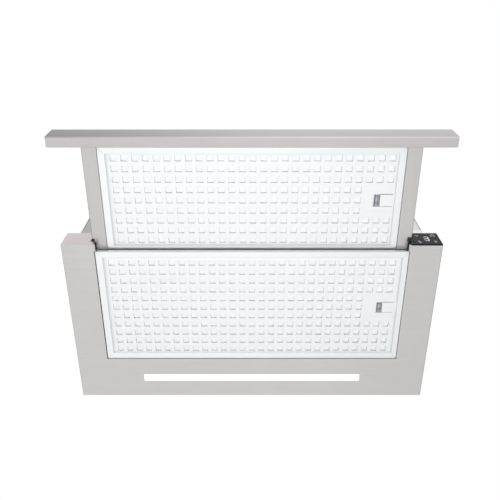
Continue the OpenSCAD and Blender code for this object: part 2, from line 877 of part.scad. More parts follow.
// Grease mesh between the frame's walls, cut away round the latch
module filter_mesh(f) {
    x = f[0] - skin;
    z = f[3] + skin + mesh_lift;
    cut = around(filter_mid(f), latch_l / 2 + latch_wall + 3);
    difference() {
        span([-x, x], [f[1] + skin, f[2] - skin], [z, z + mesh_t]);
        span([latch_x(f)[0] - latch_wall - 3, x + 1], cut, [z - 1, z + mesh_t + 1]);
    }
}

// Latch case in the face panel: window on the left, tongue port on the right
module latch_housing(f) {
    x = latch_x(f);
    y = around(filter_mid(f), latch_l / 2);
    out = latch_wall * [-1, 1];
    difference() {
        union() {
            span(x + out, y + out, above(f[3], [0.4, 6.6]));
            span(x + out * 2, y + out * 2, above(f[3] + 2 * skin, [0, 0.8]));
        }
        span(x, y, above(f[3], [1.4, 5.6]));
        span([x[0], x[0] + window_w], y, above(f[3], [0, 2]));
        span([x[1] - 1, x[1] + latch_wall * 2 + 1], around(filter_mid(f), tongue_w / 2 + 0.3),
            above(f[3], tongue_z + [-0.3, 0.3]));
    }
}

// Sliding latch: two finger ribs in the window, two spring sockets and the tongue
module latch(f, reach) {
    x = latch_x(f);
    m = filter_mid(f);
    left = x[0] + latch_travel + 0.6;
    body_y = around(m, latch_l / 2 - 0.4);
    difference() {
        union() {
            span([left, left + 14], body_y, above(f[3], [1.7, 5.3]));
            span([left + 10, f[0] + reach], around(m, tongue_w / 2), above(f[3], tongue_z));
            for (rib = [left, left + 2.6]) span([rib, rib + 1.2], body_y, above(f[3], [0.5, 3]));
        }
        for (s = [-1, 1])
            rod_x([left - 1, left + spring_socket], m + s * spring_y, f[3] + 3.5, spring_r + 0.15);
    }
}

// Compression springs between the case's left wall and the sockets
module latch_springs(f) {
    x = latch_x(f)[0];
    for (s = [-1, 1])
        difference() {
            rod_x([x, x + latch_travel + 0.6 + spring_socket],
                filter_mid(f) + s * spring_y, f[3] + 3.5, spring_r);
            rod_x([x - 1, x + latch_travel + 2 + spring_socket],
                filter_mid(f) + s * spring_y, f[3] + 3.5, 0.8);
        }
}

module front_filter_frame() {
    color(filter_grey) placed() filter_frame(front_filter, front_pins);
}

module front_filter_face() {
    color(filter_grey) placed() filter_face(front_filter);
}

module front_filter_mesh() {
    color([0.8, 0.81, 0.82]) placed() filter_mesh(front_filter);
}

module front_latch_housing() {
    color(filter_grey) placed() latch_housing(front_filter);
}

module front_latch() {
    color([0.5, 0.52, 0.56]) placed() latch(front_filter, 1.5);
}

module front_latch_springs() {
    color(zinc) placed() latch_springs(front_filter);
}

// Sprung catch on the right rail, under the front latch's tongue
module front_catch() {
    m = filter_mid(front_filter);
    color(zinc) placed() span([rail_in - 1.3, rail_wall], [m - 5, m + 5], [visor_z + sheet, visor_z + 2.1]);
}

module rear_filter_frame() {
    color(filter_grey) placed() filter_frame(rear_filter, rear_pins);
}

module rear_filter_face() {
    color(filter_grey) placed() filter_face(rear_filter);
}

module rear_filter_mesh() {
    color([0.8, 0.81, 0.82]) placed() filter_mesh(rear_filter);
}

module rear_latch_housing() {
    color(filter_grey) placed() latch_housing(rear_filter);
}

module rear_latch() {
    color([0.5, 0.52, 0.56]) placed() latch(rear_filter, 2.6);
}

module rear_latch_springs() {
    color(zinc) placed() latch_springs(rear_filter);
}

// Sprung catch on the tray's lip, under the rear latch's tongue
module rear_catch() {
    m = filter_mid(rear_filter);
    color(zinc) placed() span([open_x - 1.8, open_x], [m - 5, m + 5], [0.6, 2.6]);
}

tray();
front_crossbar();
visor_seal();
corner_guides();
control_glass();
control_housing();
control_board();
led_diffuser();
led_board();
led_driver();
casing_shell();
casing_top();
casing_lintel();
scroll_left();
scroll_right();
outlet_plenum();
inlet_guards();
motor_left();
motor_right();
motor_grommets();
run_capacitor();
terminal_box();
cable_gland();
wiring_loom();
outlet_collar();
flap_axle();
flap_front();
flap_rear();
top_screws();
impeller_left();
impeller_right();
motor_shaft_left();
motor_shaft_right();
slide_brackets();
slide_outer_left();
slide_outer_right();
slide_middle_left();
slide_middle_right();
slide_inner_left();
slide_inner_right();
visor_handle();
handle_end_caps();
visor_rail_left();
visor_rail_right();
visor_crossbar();
visor_top();
front_filter_frame();
front_filter_face();
front_filter_mesh();
front_latch_housing();
front_latch();
front_latch_springs();
front_catch();
rear_filter_frame();
rear_filter_face();
rear_filter_mesh();
rear_latch_housing();
rear_latch();
rear_latch_springs();
rear_catch();
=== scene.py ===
import itertools
import math

import bmesh
import bpy
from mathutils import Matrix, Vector


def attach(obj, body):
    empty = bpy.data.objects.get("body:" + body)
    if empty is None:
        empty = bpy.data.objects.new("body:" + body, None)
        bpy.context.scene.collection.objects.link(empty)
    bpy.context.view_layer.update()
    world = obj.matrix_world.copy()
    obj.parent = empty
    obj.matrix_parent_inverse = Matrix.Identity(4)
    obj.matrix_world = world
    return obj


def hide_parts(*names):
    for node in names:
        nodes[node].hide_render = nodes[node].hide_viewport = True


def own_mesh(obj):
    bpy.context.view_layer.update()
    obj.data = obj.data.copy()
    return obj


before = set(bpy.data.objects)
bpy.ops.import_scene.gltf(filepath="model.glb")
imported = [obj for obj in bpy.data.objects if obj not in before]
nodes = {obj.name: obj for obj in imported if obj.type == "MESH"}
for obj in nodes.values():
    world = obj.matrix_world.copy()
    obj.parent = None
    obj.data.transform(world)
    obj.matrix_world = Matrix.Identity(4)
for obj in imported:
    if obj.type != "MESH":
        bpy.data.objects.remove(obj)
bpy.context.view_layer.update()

# Sizes are in millimetres: X to the right of the hood's middle, Y back from the tray's front, Z up from its
# underside
MM = 0.001
HALF_W, HOOD_D, HOOD_H = 300, 300, 180
HALF_D = HOOD_D / 2
SHEET_T = 1

# The tray's opening, and the corner of the casing's front fold, where a painted shadow runs
OPEN_X, OPEN_Y = 250, 219
CASING_FOLD_X, CASING_FOLD_Y = (280.2, 280.6), 6.8

# The touch panel with its notch, and the printed frame's inner edges
PANEL_LEFT, PANEL_RIGHT, PANEL_LOW, PANEL_TOP = 248, 299.7, 0.1, 41.5
NOTCH_X, NOTCH_Z = 255.5, 10.6
FIELD_X, FIELD_Z, FIELD_NOTCH, FIELD_FADE = (249.6, 297.2), (1.4, 39.5), (256.6, 8.9), 0.6

# The light's window: half its length, half its width and its middle, and how far its rim fades
LIGHT_HALF_L, LIGHT_HALF_W, LIGHT_Y = 188.5, 7, 260.5
LIGHT_FADE_END, LIGHT_FADE_SIDE = 2.5, 0.8

# Where a finish's painted light and shade change from left to right, in metres
RIGHT_SHADE, LEFT_PAINTED_TONE = (0.05, 0.3), (-0.42, 0.1)
CASING_PAINTED_LIGHT, COAT_PAINTED_TONE = (-0.2, 0.26), (-0.05, 0.24)


def at(x, y, z):
    """A point given in millimetres, in the row frame."""
    return Vector((x * MM, (y - HALF_D) * MM, (z - HOOD_H) * MM))


def in_tray(place):
    """A point of the row frame, back in millimetres."""
    return Vector((place.x / MM, place.y / MM + HALF_D, place.z / MM + HOOD_H))


# Shader expressions

class Value:
    """A shader socket that takes part in arithmetic."""

    def __init__(self, finish, socket):
        self.finish = finish
        self.socket = socket

    def _math(self, operation, *terms):
        return self.finish.node("ShaderNodeMath", {"operation": operation}, dict(enumerate(terms)))

    def __add__(self, other):
        return self._math("ADD", self, other)

    __radd__ = __add__

    def __sub__(self, other):
        return self._math("SUBTRACT", self, other)

    def __rsub__(self, other):
        return self._math("SUBTRACT", other, self)

    def __mul__(self, other):
        return self._math("MULTIPLY", self, other)

    __rmul__ = __mul__

    def __lt__(self, limit):
        return self._math("LESS_THAN", self, limit)

    def __gt__(self, limit):
        return self._math("GREATER_THAN", self, limit)

    def absolute(self):
        return self._math("ABSOLUTE", self)

    def ramp(self, low, high):
        """0 below low, 1 above high, smooth between."""
        return self.finish.node("ShaderNodeMapRange", {"interpolation_type": "SMOOTHSTEP"},
                                {"Value": self, "From Min": low, "From Max": high})


class Finish:
    """A procedural material and the nodes that make it."""

    def __init__(self, name, tree=None):
        if tree is None:
            self.material = bpy.data.materials.new(name)
            self.material.use_nodes = True
            tree = self.material.node_tree
        self.tree = tree
        tree.nodes.clear()

    def node(self, kind, settings=None, sockets=None, output=0):
        """One output of a new node, from its type, its settings and the values or links of its sockets."""
        made = self.tree.nodes.new(kind)
        for key, value in (settings or {}).items():
            setattr(made, key, value)
        for key, value in (sockets or {}).items():
            socket = self._socket(made.inputs, key)
            if isinstance(value, Value):
                self.tree.links.new(value.socket, socket)
            elif isinstance(value, (tuple, list)) and len(value) == 3 and len(socket.default_value) == 4:
                socket.default_value = (*value, 1.0)
            else:
                socket.default_value = value
        return Value(self, self._socket(made.outputs, output))

    @staticmethod
    def _socket(sockets, key):
        if isinstance(key, int):
            return sockets[key]
        for socket in sockets:
            if socket.identifier == key:
                return socket
        return sockets[key]

    def place(self):
        return self.node("ShaderNodeTexCoord", output="Object")

    def axis(self, name):
        return self.node("ShaderNodeSeparateXYZ", None, {0: self.place()}, output=name)

    def stretched(self, scale):
        """The place, multiplied along each axis where a scale is given."""
        if not scale:
            return self.place()
        return self.node("ShaderNodeVectorMath", {"operation": "MULTIPLY"}, {0: self.place(), 1: scale})

    def noise(self, scale, detail=3.0, stretch=None):
        sockets = {"Vector": self.stretched(stretch), "Scale": scale, "Detail": detail}
        return self.node("ShaderNodeTexNoise", None, sockets)

    def cells(self, scale, output="Distance", feature="F1", stretch=None):
        sockets = {"Vector": self.stretched(stretch), "Scale": scale}
        return self.node("ShaderNodeTexVoronoi", {"feature": feature}, sockets, output)

    def mix(self, first, second, share):
        return self.node("ShaderNodeMix", {"data_type": "RGBA"},
                         {"Factor_Float": share, "A_Color": first, "B_Color": second}, "Result_Color")

    def bump(self, height, strength, distance):
        sockets = {"Height": height, "Strength": strength, "Distance": distance}
        return self.node("ShaderNodeBump", None, sockets)

    def surface(self, **sockets):
        """A finished surface, from its sockets' names in small letters."""
        names = {key.replace("_", " ").title().replace("Ior", "IOR"): value for key, value in sockets.items()}
        shader = self.node("ShaderNodeBsdfPrincipled", None, names)
        self.output(shader, "ShaderNodeOutputMaterial")
        return self.material

    def output(self, shader, kind):
        out = self.tree.nodes.new(kind)
        self.tree.links.new(shader.socket, out.inputs["Surface"])


def tint(colour, factor):
    return tuple(min(1.0, c * factor) for c in colour)


# Finishes

def brushed_steel(name, colour, grain="x", painted_left_end=None):
    """Stainless sheet with fine drawn lines along one axis, with painted shade towards the right; a colour
    given for the left end paints light and shade over that end."""
    f = Finish(name)
    fine = (60, 2400, 2400) if grain == "x" else (2400, 60, 2400)
    broad = (14, 240, 240) if grain == "x" else (240, 14, 240)
    lines = f.noise(1.0, 2.0, fine)
    streaks = f.noise(1.0, 3.0, broad)
    clouds = f.noise(22.0, 3.0)
    # Painted shade: the steel grows darker towards the right
    right = f.axis("X").ramp(*RIGHT_SHADE)
    shade = 0.5 + (lines - 0.5) * 0.5 + (streaks - 0.5) * 0.7 + (clouds - 0.5) * 0.6 - right * 0.45
    drawn = f.mix(tint(colour, 0.93), tint(colour, 1.07), shade)
    # Painted light and shade: the left end fades into its own colour
    if painted_left_end:
        painted_left = f.mix(tint(painted_left_end, 0.93), tint(painted_left_end, 1.07), shade)
        drawn = f.mix(painted_left, drawn, f.axis("X").ramp(*LEFT_PAINTED_TONE))
    return f.surface(
        base_color=drawn,
        metallic=0.75, roughness=0.36 + (lines - 0.5) * 0.12 + (clouds - 0.5) * 0.06,
        normal=f.bump(lines + streaks, 0.12, 0.00008))


def polished_steel(name, colour):
    """Bright bar with a faint haze."""
    f = Finish(name)
    haze = f.noise(40.0, 4.0)
    return f.surface(
        base_color=f.mix(tint(colour, 0.97), tint(colour, 1.03), haze),
        metallic=0.95, roughness=0.1 + haze * 0.08,
        normal=f.bump(f.noise(90.0), 0.05, 0.0002))


def zinc_coat(name, colour, painted_right_end=None):
    """Galvanised sheet: spangle under a dull sheen. With a right-end colour, painted light makes it
    paler there and a painted shadow darkens its front fold.
    """
    f = Finish(name)
    spangle = f.node("ShaderNodeSeparateColor", None, {0: f.cells(70.0, "Color")}, "Red")
    edges = f.cells(70.0, "Distance", "DISTANCE_TO_EDGE").ramp(0.0, 0.05)
    clouds = f.noise(14.0, 4.0)
    shade = 0.25 + spangle * 0.35 + clouds * 0.3 + edges * 0.05
    coat = f.mix(tint(colour, 0.9), tint(colour, 1.1), shade)
    # Painted light: the sheet grows paler towards the right end
    if painted_right_end:
        pale = f.mix(tint(painted_right_end, 0.95), tint(painted_right_end, 1.05), shade)
        coat = f.mix(coat, pale, f.axis("X").ramp(*CASING_PAINTED_LIGHT))
        # Painted shadow along the corner of the casing's front fold
        corner = f.axis("X").absolute().ramp(*(x * MM for x in CASING_FOLD_X))
        fold = corner * (f.axis("Y") < (CASING_FOLD_Y - HALF_D) * MM)
        coat = f.mix(coat, tint(colour, 0.35), fold * 0.8)
    return f.surface(
        base_color=coat,
        metallic=0.55, roughness=0.42 + spangle * 0.14,
        normal=f.bump(spangle + f.noise(600.0) * 0.3, 0.08, 0.0002))


def powder_coat(name, colour, metallic=0.0, rough=0.5, painted_right_tone=1.0):
    """Satin coat with a fine orange-peel surface. A right tone above 1 paints light towards the right,
    below 1 it paints shade.
    """
    f = Finish(name)
    peel = f.noise(1100.0, 2.0)
    clouds = f.noise(16.0, 3.0)
    coat = f.mix(tint(colour, 0.975), tint(colour, 1.02), clouds)
    # Painted light and shade: the coat turns to the right tone towards the right
    return f.surface(
        base_color=f.mix(coat, tint(colour, painted_right_tone), f.axis("X").ramp(*COAT_PAINTED_TONE)),
        metallic=metallic, roughness=rough + (peel - 0.5) * 0.1,
        normal=f.bump(peel, 0.12, 0.0001))


def grease_mesh(name, colour):
    """Layers of expanded aluminium mesh, crossing at an angle, with painted shade in their openings."""
    f = Finish(name)
    layer_one = f.cells(1.0, "Distance", "DISTANCE_TO_EDGE", (330, 620, 330)).ramp(0.05, 0.22)
    layer_two = f.cells(1.0, "Distance", "DISTANCE_TO_EDGE", (560, 300, 400)).ramp(0.05, 0.22)
    depth = 0.6 * layer_one + 0.4 * layer_two
    # Painted shade: the mesh is a little darker in its openings
    return f.surface(
        base_color=f.mix(colour, tint(colour, 0.94), depth),
        metallic=0.05, roughness=0.42 + depth * 0.2,
        normal=f.bump(1.0 - depth, 0.35, 0.0006))


def moulded(name, colour, rough=0.45):
    """Moulded plastic with a fine eroded grain and a slight mould flow."""
    f = Finish(name)
    pits = f.noise(900.0, 3.0)
    flow = f.noise(9.0, 2.0, (1.0, 2.5, 1.0))
    return f.surface(
        base_color=f.mix(tint(colour, 0.92), tint(colour, 1.08), flow),
        roughness=rough + (pits - 0.5) * 0.15,
        normal=f.bump(pits, 0.15, 0.0001))


def rubber(name, colour):
    """Black rubber with dust on it."""
    f = Finish(name)
    dust = f.noise(55.0, 5.0)
    return f.surface(
        base_color=f.mix(colour, tuple(c + 0.02 for c in colour), dust),
        roughness=0.72 + dust * 0.15,
        normal=f.bump(f.noise(700.0, 2.0), 0.2, 0.0001))


def circuit_board(name):
    """Green lacquer over copper traces."""
    f = Finish(name)
    traces = f.node("ShaderNodeTexBrick", {"offset": 0.37}, {
        "Vector": f.place(), "Scale": 260.0, "Mortar Size": 0.06, "Color1": (0.02, 0.12, 0.05),
        "Color2": (0.02, 0.16, 0.07), "Mortar": (0.06, 0.24, 0.1)}, "Color")
    return f.surface(base_color=traces, roughness=0.3 + f.noise(80.0) * 0.1)


def turned_steel(name, colour):
    """Bright steel with the fine rings of turning or drawing."""
    f = Finish(name)
    rings = f.noise(1.0, 2.0, (300, 300, 2600))
    return f.surface(
        base_color=f.mix(tint(colour, 0.94), tint(colour, 1.04), rings),
        metallic=0.9, roughness=0.22 + rings * 0.12,
        normal=f.bump(rings, 0.1, 0.00005))


def lamp_window(name):
    """Opal window, lit from behind, a little dimmer at its rim."""
    f = Finish(name)
    x, y = f.axis("X"), f.axis("Y")
    end = x.absolute().ramp((LIGHT_HALF_L - LIGHT_FADE_END) * MM, LIGHT_HALF_L * MM)
    from_middle = (y - (LIGHT_Y - HALF_D) * MM).absolute()
    side = from_middle.ramp((LIGHT_HALF_W - LIGHT_FADE_SIDE) * MM, LIGHT_HALF_W * MM)
    field = (1.0 - end) * (1.0 - side)
    glow = 0.9 + field * 0.1 + (f.noise(120.0) - 0.5) * 0.02
    return f.surface(
        base_color=(0.25, 0.25, 0.25), roughness=0.5 + f.noise(400.0) * 0.1,
        emission_color=f.mix((0.0, 0.0, 0.0), (1.0, 1.0, 1.0), glow),
        emission_strength=0.93)


def touch_glass(name):
    """Black glass: a darker printed frame round a smoky field."""
    f = Finish(name)
    x, z = f.axis("X"), f.axis("Z")

    def past(axis, place, origin=0):
        """1 past a place in millimetres, 0 before it."""
        return axis.ramp((place - origin) * MM, (place - origin + FIELD_FADE) * MM)

    across = past(x, FIELD_X[0]) * (1.0 - past(x, FIELD_X[1]))
    up = past(z, FIELD_Z[0], HOOD_H) * (1.0 - past(z, FIELD_Z[1], HOOD_H))
    beside_notch = 1.0 - (1.0 - past(x, FIELD_NOTCH[0])) * past(z, FIELD_NOTCH[1], HOOD_H)
    field = across * up * beside_notch
    smoke = f.noise(60.0, 3.0)
    return f.surface(
        base_color=f.mix((0.008, 0.008, 0.009), (0.035, 0.036, 0.039), field * (0.93 + smoke * 0.1)),
        roughness=0.12 + smoke * 0.06, ior=1.12)


def printed(name, colour, strength=0.0):
    """Ink on the glass, lit from behind where it has a strength."""
    f = Finish(name)
    grain = f.noise(500.0, 2.0)
    ink = f.mix(tint(colour, 0.9), colour, grain)
    return f.surface(base_color=ink, roughness=0.4 + grain * 0.1,
                     emission_color=ink, emission_strength=strength)


STEEL = brushed_steel("stainless_along_x", (0.655, 0.645, 0.632))
RAIL_STEEL = brushed_steel("stainless_along_y", (0.635, 0.622, 0.61), "y")
HANDLE_STEEL = brushed_steel("stainless_handle", (0.61, 0.588, 0.584))
# Painted highlight: a paler copy of the handle's steel along its lower front edge, dimmer at its left end
HANDLE_EDGE_HIGHLIGHT = brushed_steel("stainless_handle_edge_highlight", (0.76, 0.74, 0.735),
                                  painted_left_end=(0.4, 0.39, 0.39))
# Painted shade: a darker copy of the handle's steel for its front face, darkest at its left end
HANDLE_FRONT_SHADE = brushed_steel("stainless_handle_front_shade", (0.535, 0.523, 0.53),
                                   painted_left_end=(0.215, 0.215, 0.222))
# Painted shade: a darker copy of the rail steel for the rails' outer folds
RAIL_FOLD_SHADE = brushed_steel("stainless_rail_fold_shade", (0.33, 0.325, 0.32), "y")
# Painted shade: darker copies of the steel for the tray's side and rear folds, the side folds paler at the
# left end
SIDE_FOLD_SHADE = brushed_steel("stainless_side_fold_shade", (0.3, 0.295, 0.29), "y",
                                painted_left_end=(0.48, 0.47, 0.46))
REAR_FOLD_SHADE = brushed_steel("stainless_rear_fold_shade", (0.46, 0.45, 0.44))
# Painted reflection: a pinkish copy of the steel for the tray's left front face
FRONT_REFLECTION_STEEL = brushed_steel("stainless_side_front_reflection", (0.665, 0.6, 0.605))
BRIGHT_BAR = polished_steel("polished_crossbar", (0.8, 0.8, 0.81))
ZINC = zinc_coat("galvanised_sheet", (0.47, 0.475, 0.49))
# Casing sheet with painted light towards its right end and a painted shadow at its front fold
CASING_ZINC = zinc_coat("casing_sheet", (0.475, 0.473, 0.473), (0.77, 0.765, 0.765))
# Painted light: the lintel coat grows paler towards the right
LINTEL_ZINC = powder_coat("lintel_coat", (0.5, 0.495, 0.495), 0.3, 0.4, painted_right_tone=1.84)
# Painted shade: the filter and frame coats grow darker towards the right
FILTER = powder_coat("filter_coat", (0.84, 0.857, 0.864), 0.15, 0.42, painted_right_tone=0.945)
FRAME = powder_coat("filter_frame_coat", (0.845, 0.862, 0.869), 0.15, 0.42, painted_right_tone=0.91)
# Painted light: the mesh is paler than the face's coat to make up for the shade in the pockets
MESH = grease_mesh("grease_mesh", (0.89, 0.903, 0.908))
LATCH = moulded("latch_plastic", (0.3, 0.32, 0.35), 0.4)
# Painted shade: a darker strip standing for the shade deep in the latch's window
LATCH_WELL_SHADE = moulded("latch_well_shade", (0.21, 0.23, 0.25), 0.4)
LATCH_TRACK = moulded("latch_track", (0.6, 0.62, 0.65), 0.4)
BLACK = moulded("black_plastic", (0.022, 0.022, 0.025), 0.5)
DARK = moulded("dark_grey_plastic", (0.09, 0.095, 0.105), 0.45)
GREY = moulded("grey_plastic", (0.62, 0.62, 0.61), 0.5)
RUBBER = rubber("black_rubber", (0.07, 0.076, 0.083))
GLASS = touch_glass("touch_glass")
BOARD = circuit_board("circuit_board")
WINDOW = lamp_window("light_window")
STRIP = powder_coat("light_strip_coat", (0.85, 0.85, 0.82), 0.2)
MOTOR = powder_coat("motor_steel", (0.42, 0.43, 0.45), 0.6, 0.4)
BRIGHT = turned_steel("bright_steel", (0.72, 0.72, 0.74))
SPRING = turned_steel("spring_wire", (0.55, 0.56, 0.58))
CABLE = moulded("cable_jacket", (0.7, 0.7, 0.68), 0.5)
PRINT = printed("key_print", (0.62, 0.63, 0.65))
DIGIT_ON = printed("digit_lit", (0.92, 0.93, 0.95), 0.35)
DIGIT_OFF = printed("digit_unlit", (0.2, 0.2, 0.21))


# Shapes

# Puts a point of an outline, and its place along the axis, in order
ALONG = {
    "x": lambda a, b, t: (t, a, b),
    "y": lambda a, b, t: (a, t, b),
    "z": lambda a, b, t: (a, b, t),
}

# Metres within which vertices are one: drawn here, in a CAD node, in a copy of one, and along fine seams
DRAWN_WELD, NODE_WELD, COPY_WELD, SEAM_WELD = 1e-7, 1e-6, 2e-6, 1e-5

# Radians up to which faces are flat, and over which an edge can be folded
FLAT_ANGLE, FOLD_ANGLE = math.radians(0.5), 0.5

# Millimetres within which lines are one, and the slack for rounding
SAME_LINE, NEXT_TO = 1e-4, 1e-6


def rounded(corners, steps=4):
    """Outline whose corners (x, y, radius) are rounded off."""
    out = []
    count = len(corners)
    for i, (x, y, r) in enumerate(corners):
        here = Vector((x, y))
        if not r:
            out.append((x, y))
            continue
        before = (Vector(corners[i - 1][:2]) - here).normalized()
        after = (Vector(corners[(i + 1) % count][:2]) - here).normalized()
        half = before.angle(after) / 2
        centre = here + (before + after).normalized() * (r / math.sin(half))
        start = here + before * (r / math.tan(half)) - centre
        turn = start.angle_signed(here + after * (r / math.tan(half)) - centre)
        for k in range(steps + 1):
            a = -turn * k / steps
            out.append((centre.x + start.x * math.cos(a) - start.y * math.sin(a),
                        centre.y + start.x * math.sin(a) + start.y * math.cos(a)))
    return out


def arc(centre, r, degrees):
    """Points on a circle at the given angles."""
    turns = [math.radians(a) for a in degrees]
    return [(centre[0] + r * math.cos(a), centre[1] + r * math.sin(a)) for a in turns]


def circle(centre, r, sides=24):
    return arc(centre, r, [360 * i / sides for i in range(sides)])


def unique(values):
    values = sorted(values)
    return [v for i, v in enumerate(values) if i == 0 or v - values[i - 1] > SAME_LINE]


class Shape:
    """Vertices in millimetres and the faces between them."""

    def __init__(self):
        self.points = []
        self.faces = []

    def add(self, points, faces):
        base = len(self.points)
        self.points += points
        self.faces += [tuple(base + i for i in face) for face in faces]
        return self

    def loft(self, rings, closed_ends=True):
        """Joins rings of points; each ring has as many points as the next."""
        n = len(rings[0])
        points = [p for ring in rings for p in ring]
        faces = []
        for r in range(len(rings) - 1):
            for i in range(n):
                j = (i + 1) % n
                faces.append((r * n + i, r * n + j, (r + 1) * n + j, (r + 1) * n + i))
        if closed_ends:
            last = (len(rings) - 1) * n
            faces += [tuple(reversed(range(n))), tuple(range(last, last + n))]
        return self.add(points, faces)

    def bar(self, outline, axis, start, end):
        """An outline drawn in the other two axes, extruded along one axis."""
        put = ALONG[axis]
        return self.loft([[put(a, b, t) for a, b in outline] for t in (start, end)])

    def hollow_bar(self, outer, inner, axis, start, end):
        """A tube between two outlines."""
        put = ALONG[axis]
        lines = ((outer, start), (outer, end), (inner, end), (inner, start), (outer, start))
        return self.loft([[put(a, b, t) for a, b in line] for line, t in lines], False)

    def block(self, x, y, z):
        return self.bar([(x[0], y[0]), (x[1], y[0]), (x[1], y[1]), (x[0], y[1])], "z", z[0], z[1])

    def united(self, blocks):
        """One skin round blocks (x, y, z ranges) that meet or overlap."""
        cuts = [unique(v for block in blocks for v in block[a]) for a in range(3)]

        def filled(cell):
            if any(i < 0 or i >= len(cut) - 1 for i, cut in zip(cell, cuts)):
                return False
            centre = [(cut[i] + cut[i + 1]) / 2 for i, cut in zip(cell, cuts)]
            return any(all(r[0] < c < r[1] for c, r in zip(centre, block)) for block in blocks)

        for cell in itertools.product(*(range(len(cut) - 1) for cut in cuts)):
            if not filled(cell):
                continue
            for a, step in itertools.product(range(3), (0, 1)):
                beside = list(cell)
                beside[a] += 1 if step else -1
                if filled(beside):
                    continue
                b, c = (a + 1) % 3, (a + 2) % 3
                corners = []
                for db, dc in ((0, 0), (1, 0), (1, 1), (0, 1)):
                    corner = [0, 0, 0]
                    corner[a] = cuts[a][cell[a] + step]
                    corner[b] = cuts[b][cell[b] + db]
                    corner[c] = cuts[c][cell[c] + dc]
                    corners.append(tuple(corner))
                self.add(corners if step else corners[::-1], [(0, 1, 2, 3)])
        return self

    def rod(self, axis, centre, r, start, end):
        return self.bar(circle(centre, r), axis, start, end)

    def mirrored(self):
        """The same shape on the hood's other side."""
        out = Shape()
        out.points = [(-x, y, z) for x, y, z in self.points]
        out.faces = [tuple(reversed(face)) for face in self.faces]
        return out

    def joined(self, other):
        return self.add(list(other.points), list(other.faces))

    def piece(self, name, finish, body, *replaced, smooth=30, edge=0.0, flat=False):
        """Makes the object, which rides on a body and may take the place of CAD nodes."""
        mesh = bpy.data.meshes.new(name)
        mesh.from_pydata([at(*p) for p in self.points], [], self.faces)
        bm = bmesh.new()
        bm.from_mesh(mesh)
        bmesh.ops.remove_doubles(bm, verts=bm.verts, dist=DRAWN_WELD)
        bmesh.ops.recalc_face_normals(bm, faces=bm.faces)
        if flat:
            bmesh.ops.dissolve_limit(bm, angle_limit=FLAT_ANGLE, verts=bm.verts, edges=bm.edges)
        bm.to_mesh(mesh)
        bm.free()
        return placed_piece(name, mesh, finish, body, replaced, smooth, edge)


def placed_piece(name, mesh, finish, body, replaced, smooth=30, edge=0.0):
    made = bpy.data.objects.new(name, mesh)
    bpy.context.scene.collection.objects.link(made)
    mesh.materials.clear()
    mesh.materials.append(finish)
    for polygon in mesh.polygons:
        polygon.use_smooth = True
    mesh.set_sharp_from_angle(angle=math.radians(smooth))
    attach(made, body)
    if replaced:
        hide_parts(*replaced)
    if edge:
        eased(made, edge)
    return made


def eased(piece, width):
    """A small radius on every sharp edge."""
    bevel = piece.modifiers.new("eased_edges", "BEVEL")
    bevel.width = width * MM
    bevel.segments = 2
    bevel.limit_method = "ANGLE"
    bevel.angle_limit = math.radians(40)
    bevel.harden_normals = True


def finished(finish, *names, edge=0.0, weld=NODE_WELD):
    """CAD nodes that keep their shape and get a finish and, if asked, eased edges or closed seams."""
    for name in names:
        piece = nodes[name]
        piece.data.materials.clear()
        piece.data.materials.append(finish)
        if edge or weld > NODE_WELD:
            welded = piece.modifiers.new("welded", "WELD")
            welded.merge_threshold = weld
        if edge:
            eased(piece, edge)


def folded(node, name, finish, body, folds, moved):
    """A copy of a CAD node with some vertices moved back and chosen edges folded round a radius."""
    mesh = nodes[node].data.copy()
    bm = bmesh.new()
    bm.from_mesh(mesh)
    bmesh.ops.remove_doubles(bm, verts=bm.verts, dist=COPY_WELD)
    bmesh.ops.dissolve_limit(bm, angle_limit=FLAT_ANGLE, verts=bm.verts, edges=bm.edges)
    for v in bm.verts:
        v.co.y += moved(in_tray(v.co)) * MM
    for radius, chosen in folds:
        edges = []
        for edge in bm.edges:
            a, b = (in_tray(v.co) for v in edge.verts)
            if edge.is_manifold and edge.calc_face_angle(0) > FOLD_ANGLE and chosen(a, b):
                edges.append(edge)
        bmesh.ops.bevel(bm, geom=edges, offset=radius * MM, segments=3, profile=0.5, affect="EDGES",
                        clamp_overlap=False)
    bmesh.ops.remove_doubles(bm, verts=bm.verts, dist=COPY_WELD)
    bmesh.ops.dissolve_degenerate(bm, dist=SEAM_WELD, edges=bm.edges)
    bm.to_mesh(mesh)
    bm.free()
    return placed_piece(name, mesh, finish, body, (node,))


def toned(piece, finish, chosen):
    """Gives the faces chosen by their normal and middle their own finish, which paints light and shade by the
    way they face.
    """
    piece.data.materials.append(finish)
    for polygon in piece.data.polygons:
        if chosen(polygon.normal, in_tray(polygon.center)):
            polygon.material_index = len(piece.data.materials) - 1


# Visor: handle bar, side rails and slides

HANDLE_FRONT, HANDLE_BACK, HANDLE_H, HANDLE_END = -173.2, -156.7, 38, 299.3
CAP_X, CAP_INSET = (297.6, 299), 1.1
VISOR_Z, VISOR_TOP = 11, 33
RAIL_IN, RAIL_OUT, RAIL_WALL, RAIL_BACK = 229.95, 252.5, 232, 85
FOLD_REACH = 2
# Painted shade: place and height of the thin black pads under the rails at the mouth
SHADE_PAD_OUT, SHADE_PAD_BACK, SHADE_PAD_Z = RAIL_OUT - 0.2, -0.1, (VISOR_Z - 0.32, VISOR_Z + 0.02)


def handle_outline(inset, *radii):
    """The handle bar's outline, drawn in by inset; the radii start at its lower front corner."""
    front, back, low, top = HANDLE_FRONT + inset, HANDLE_BACK - inset, inset, HANDLE_H - inset
    corners = ((front, low), (back, low), (back, top), (front, top))
    return rounded([(y, z, r) for (y, z), r in zip(corners, radii)], 5)


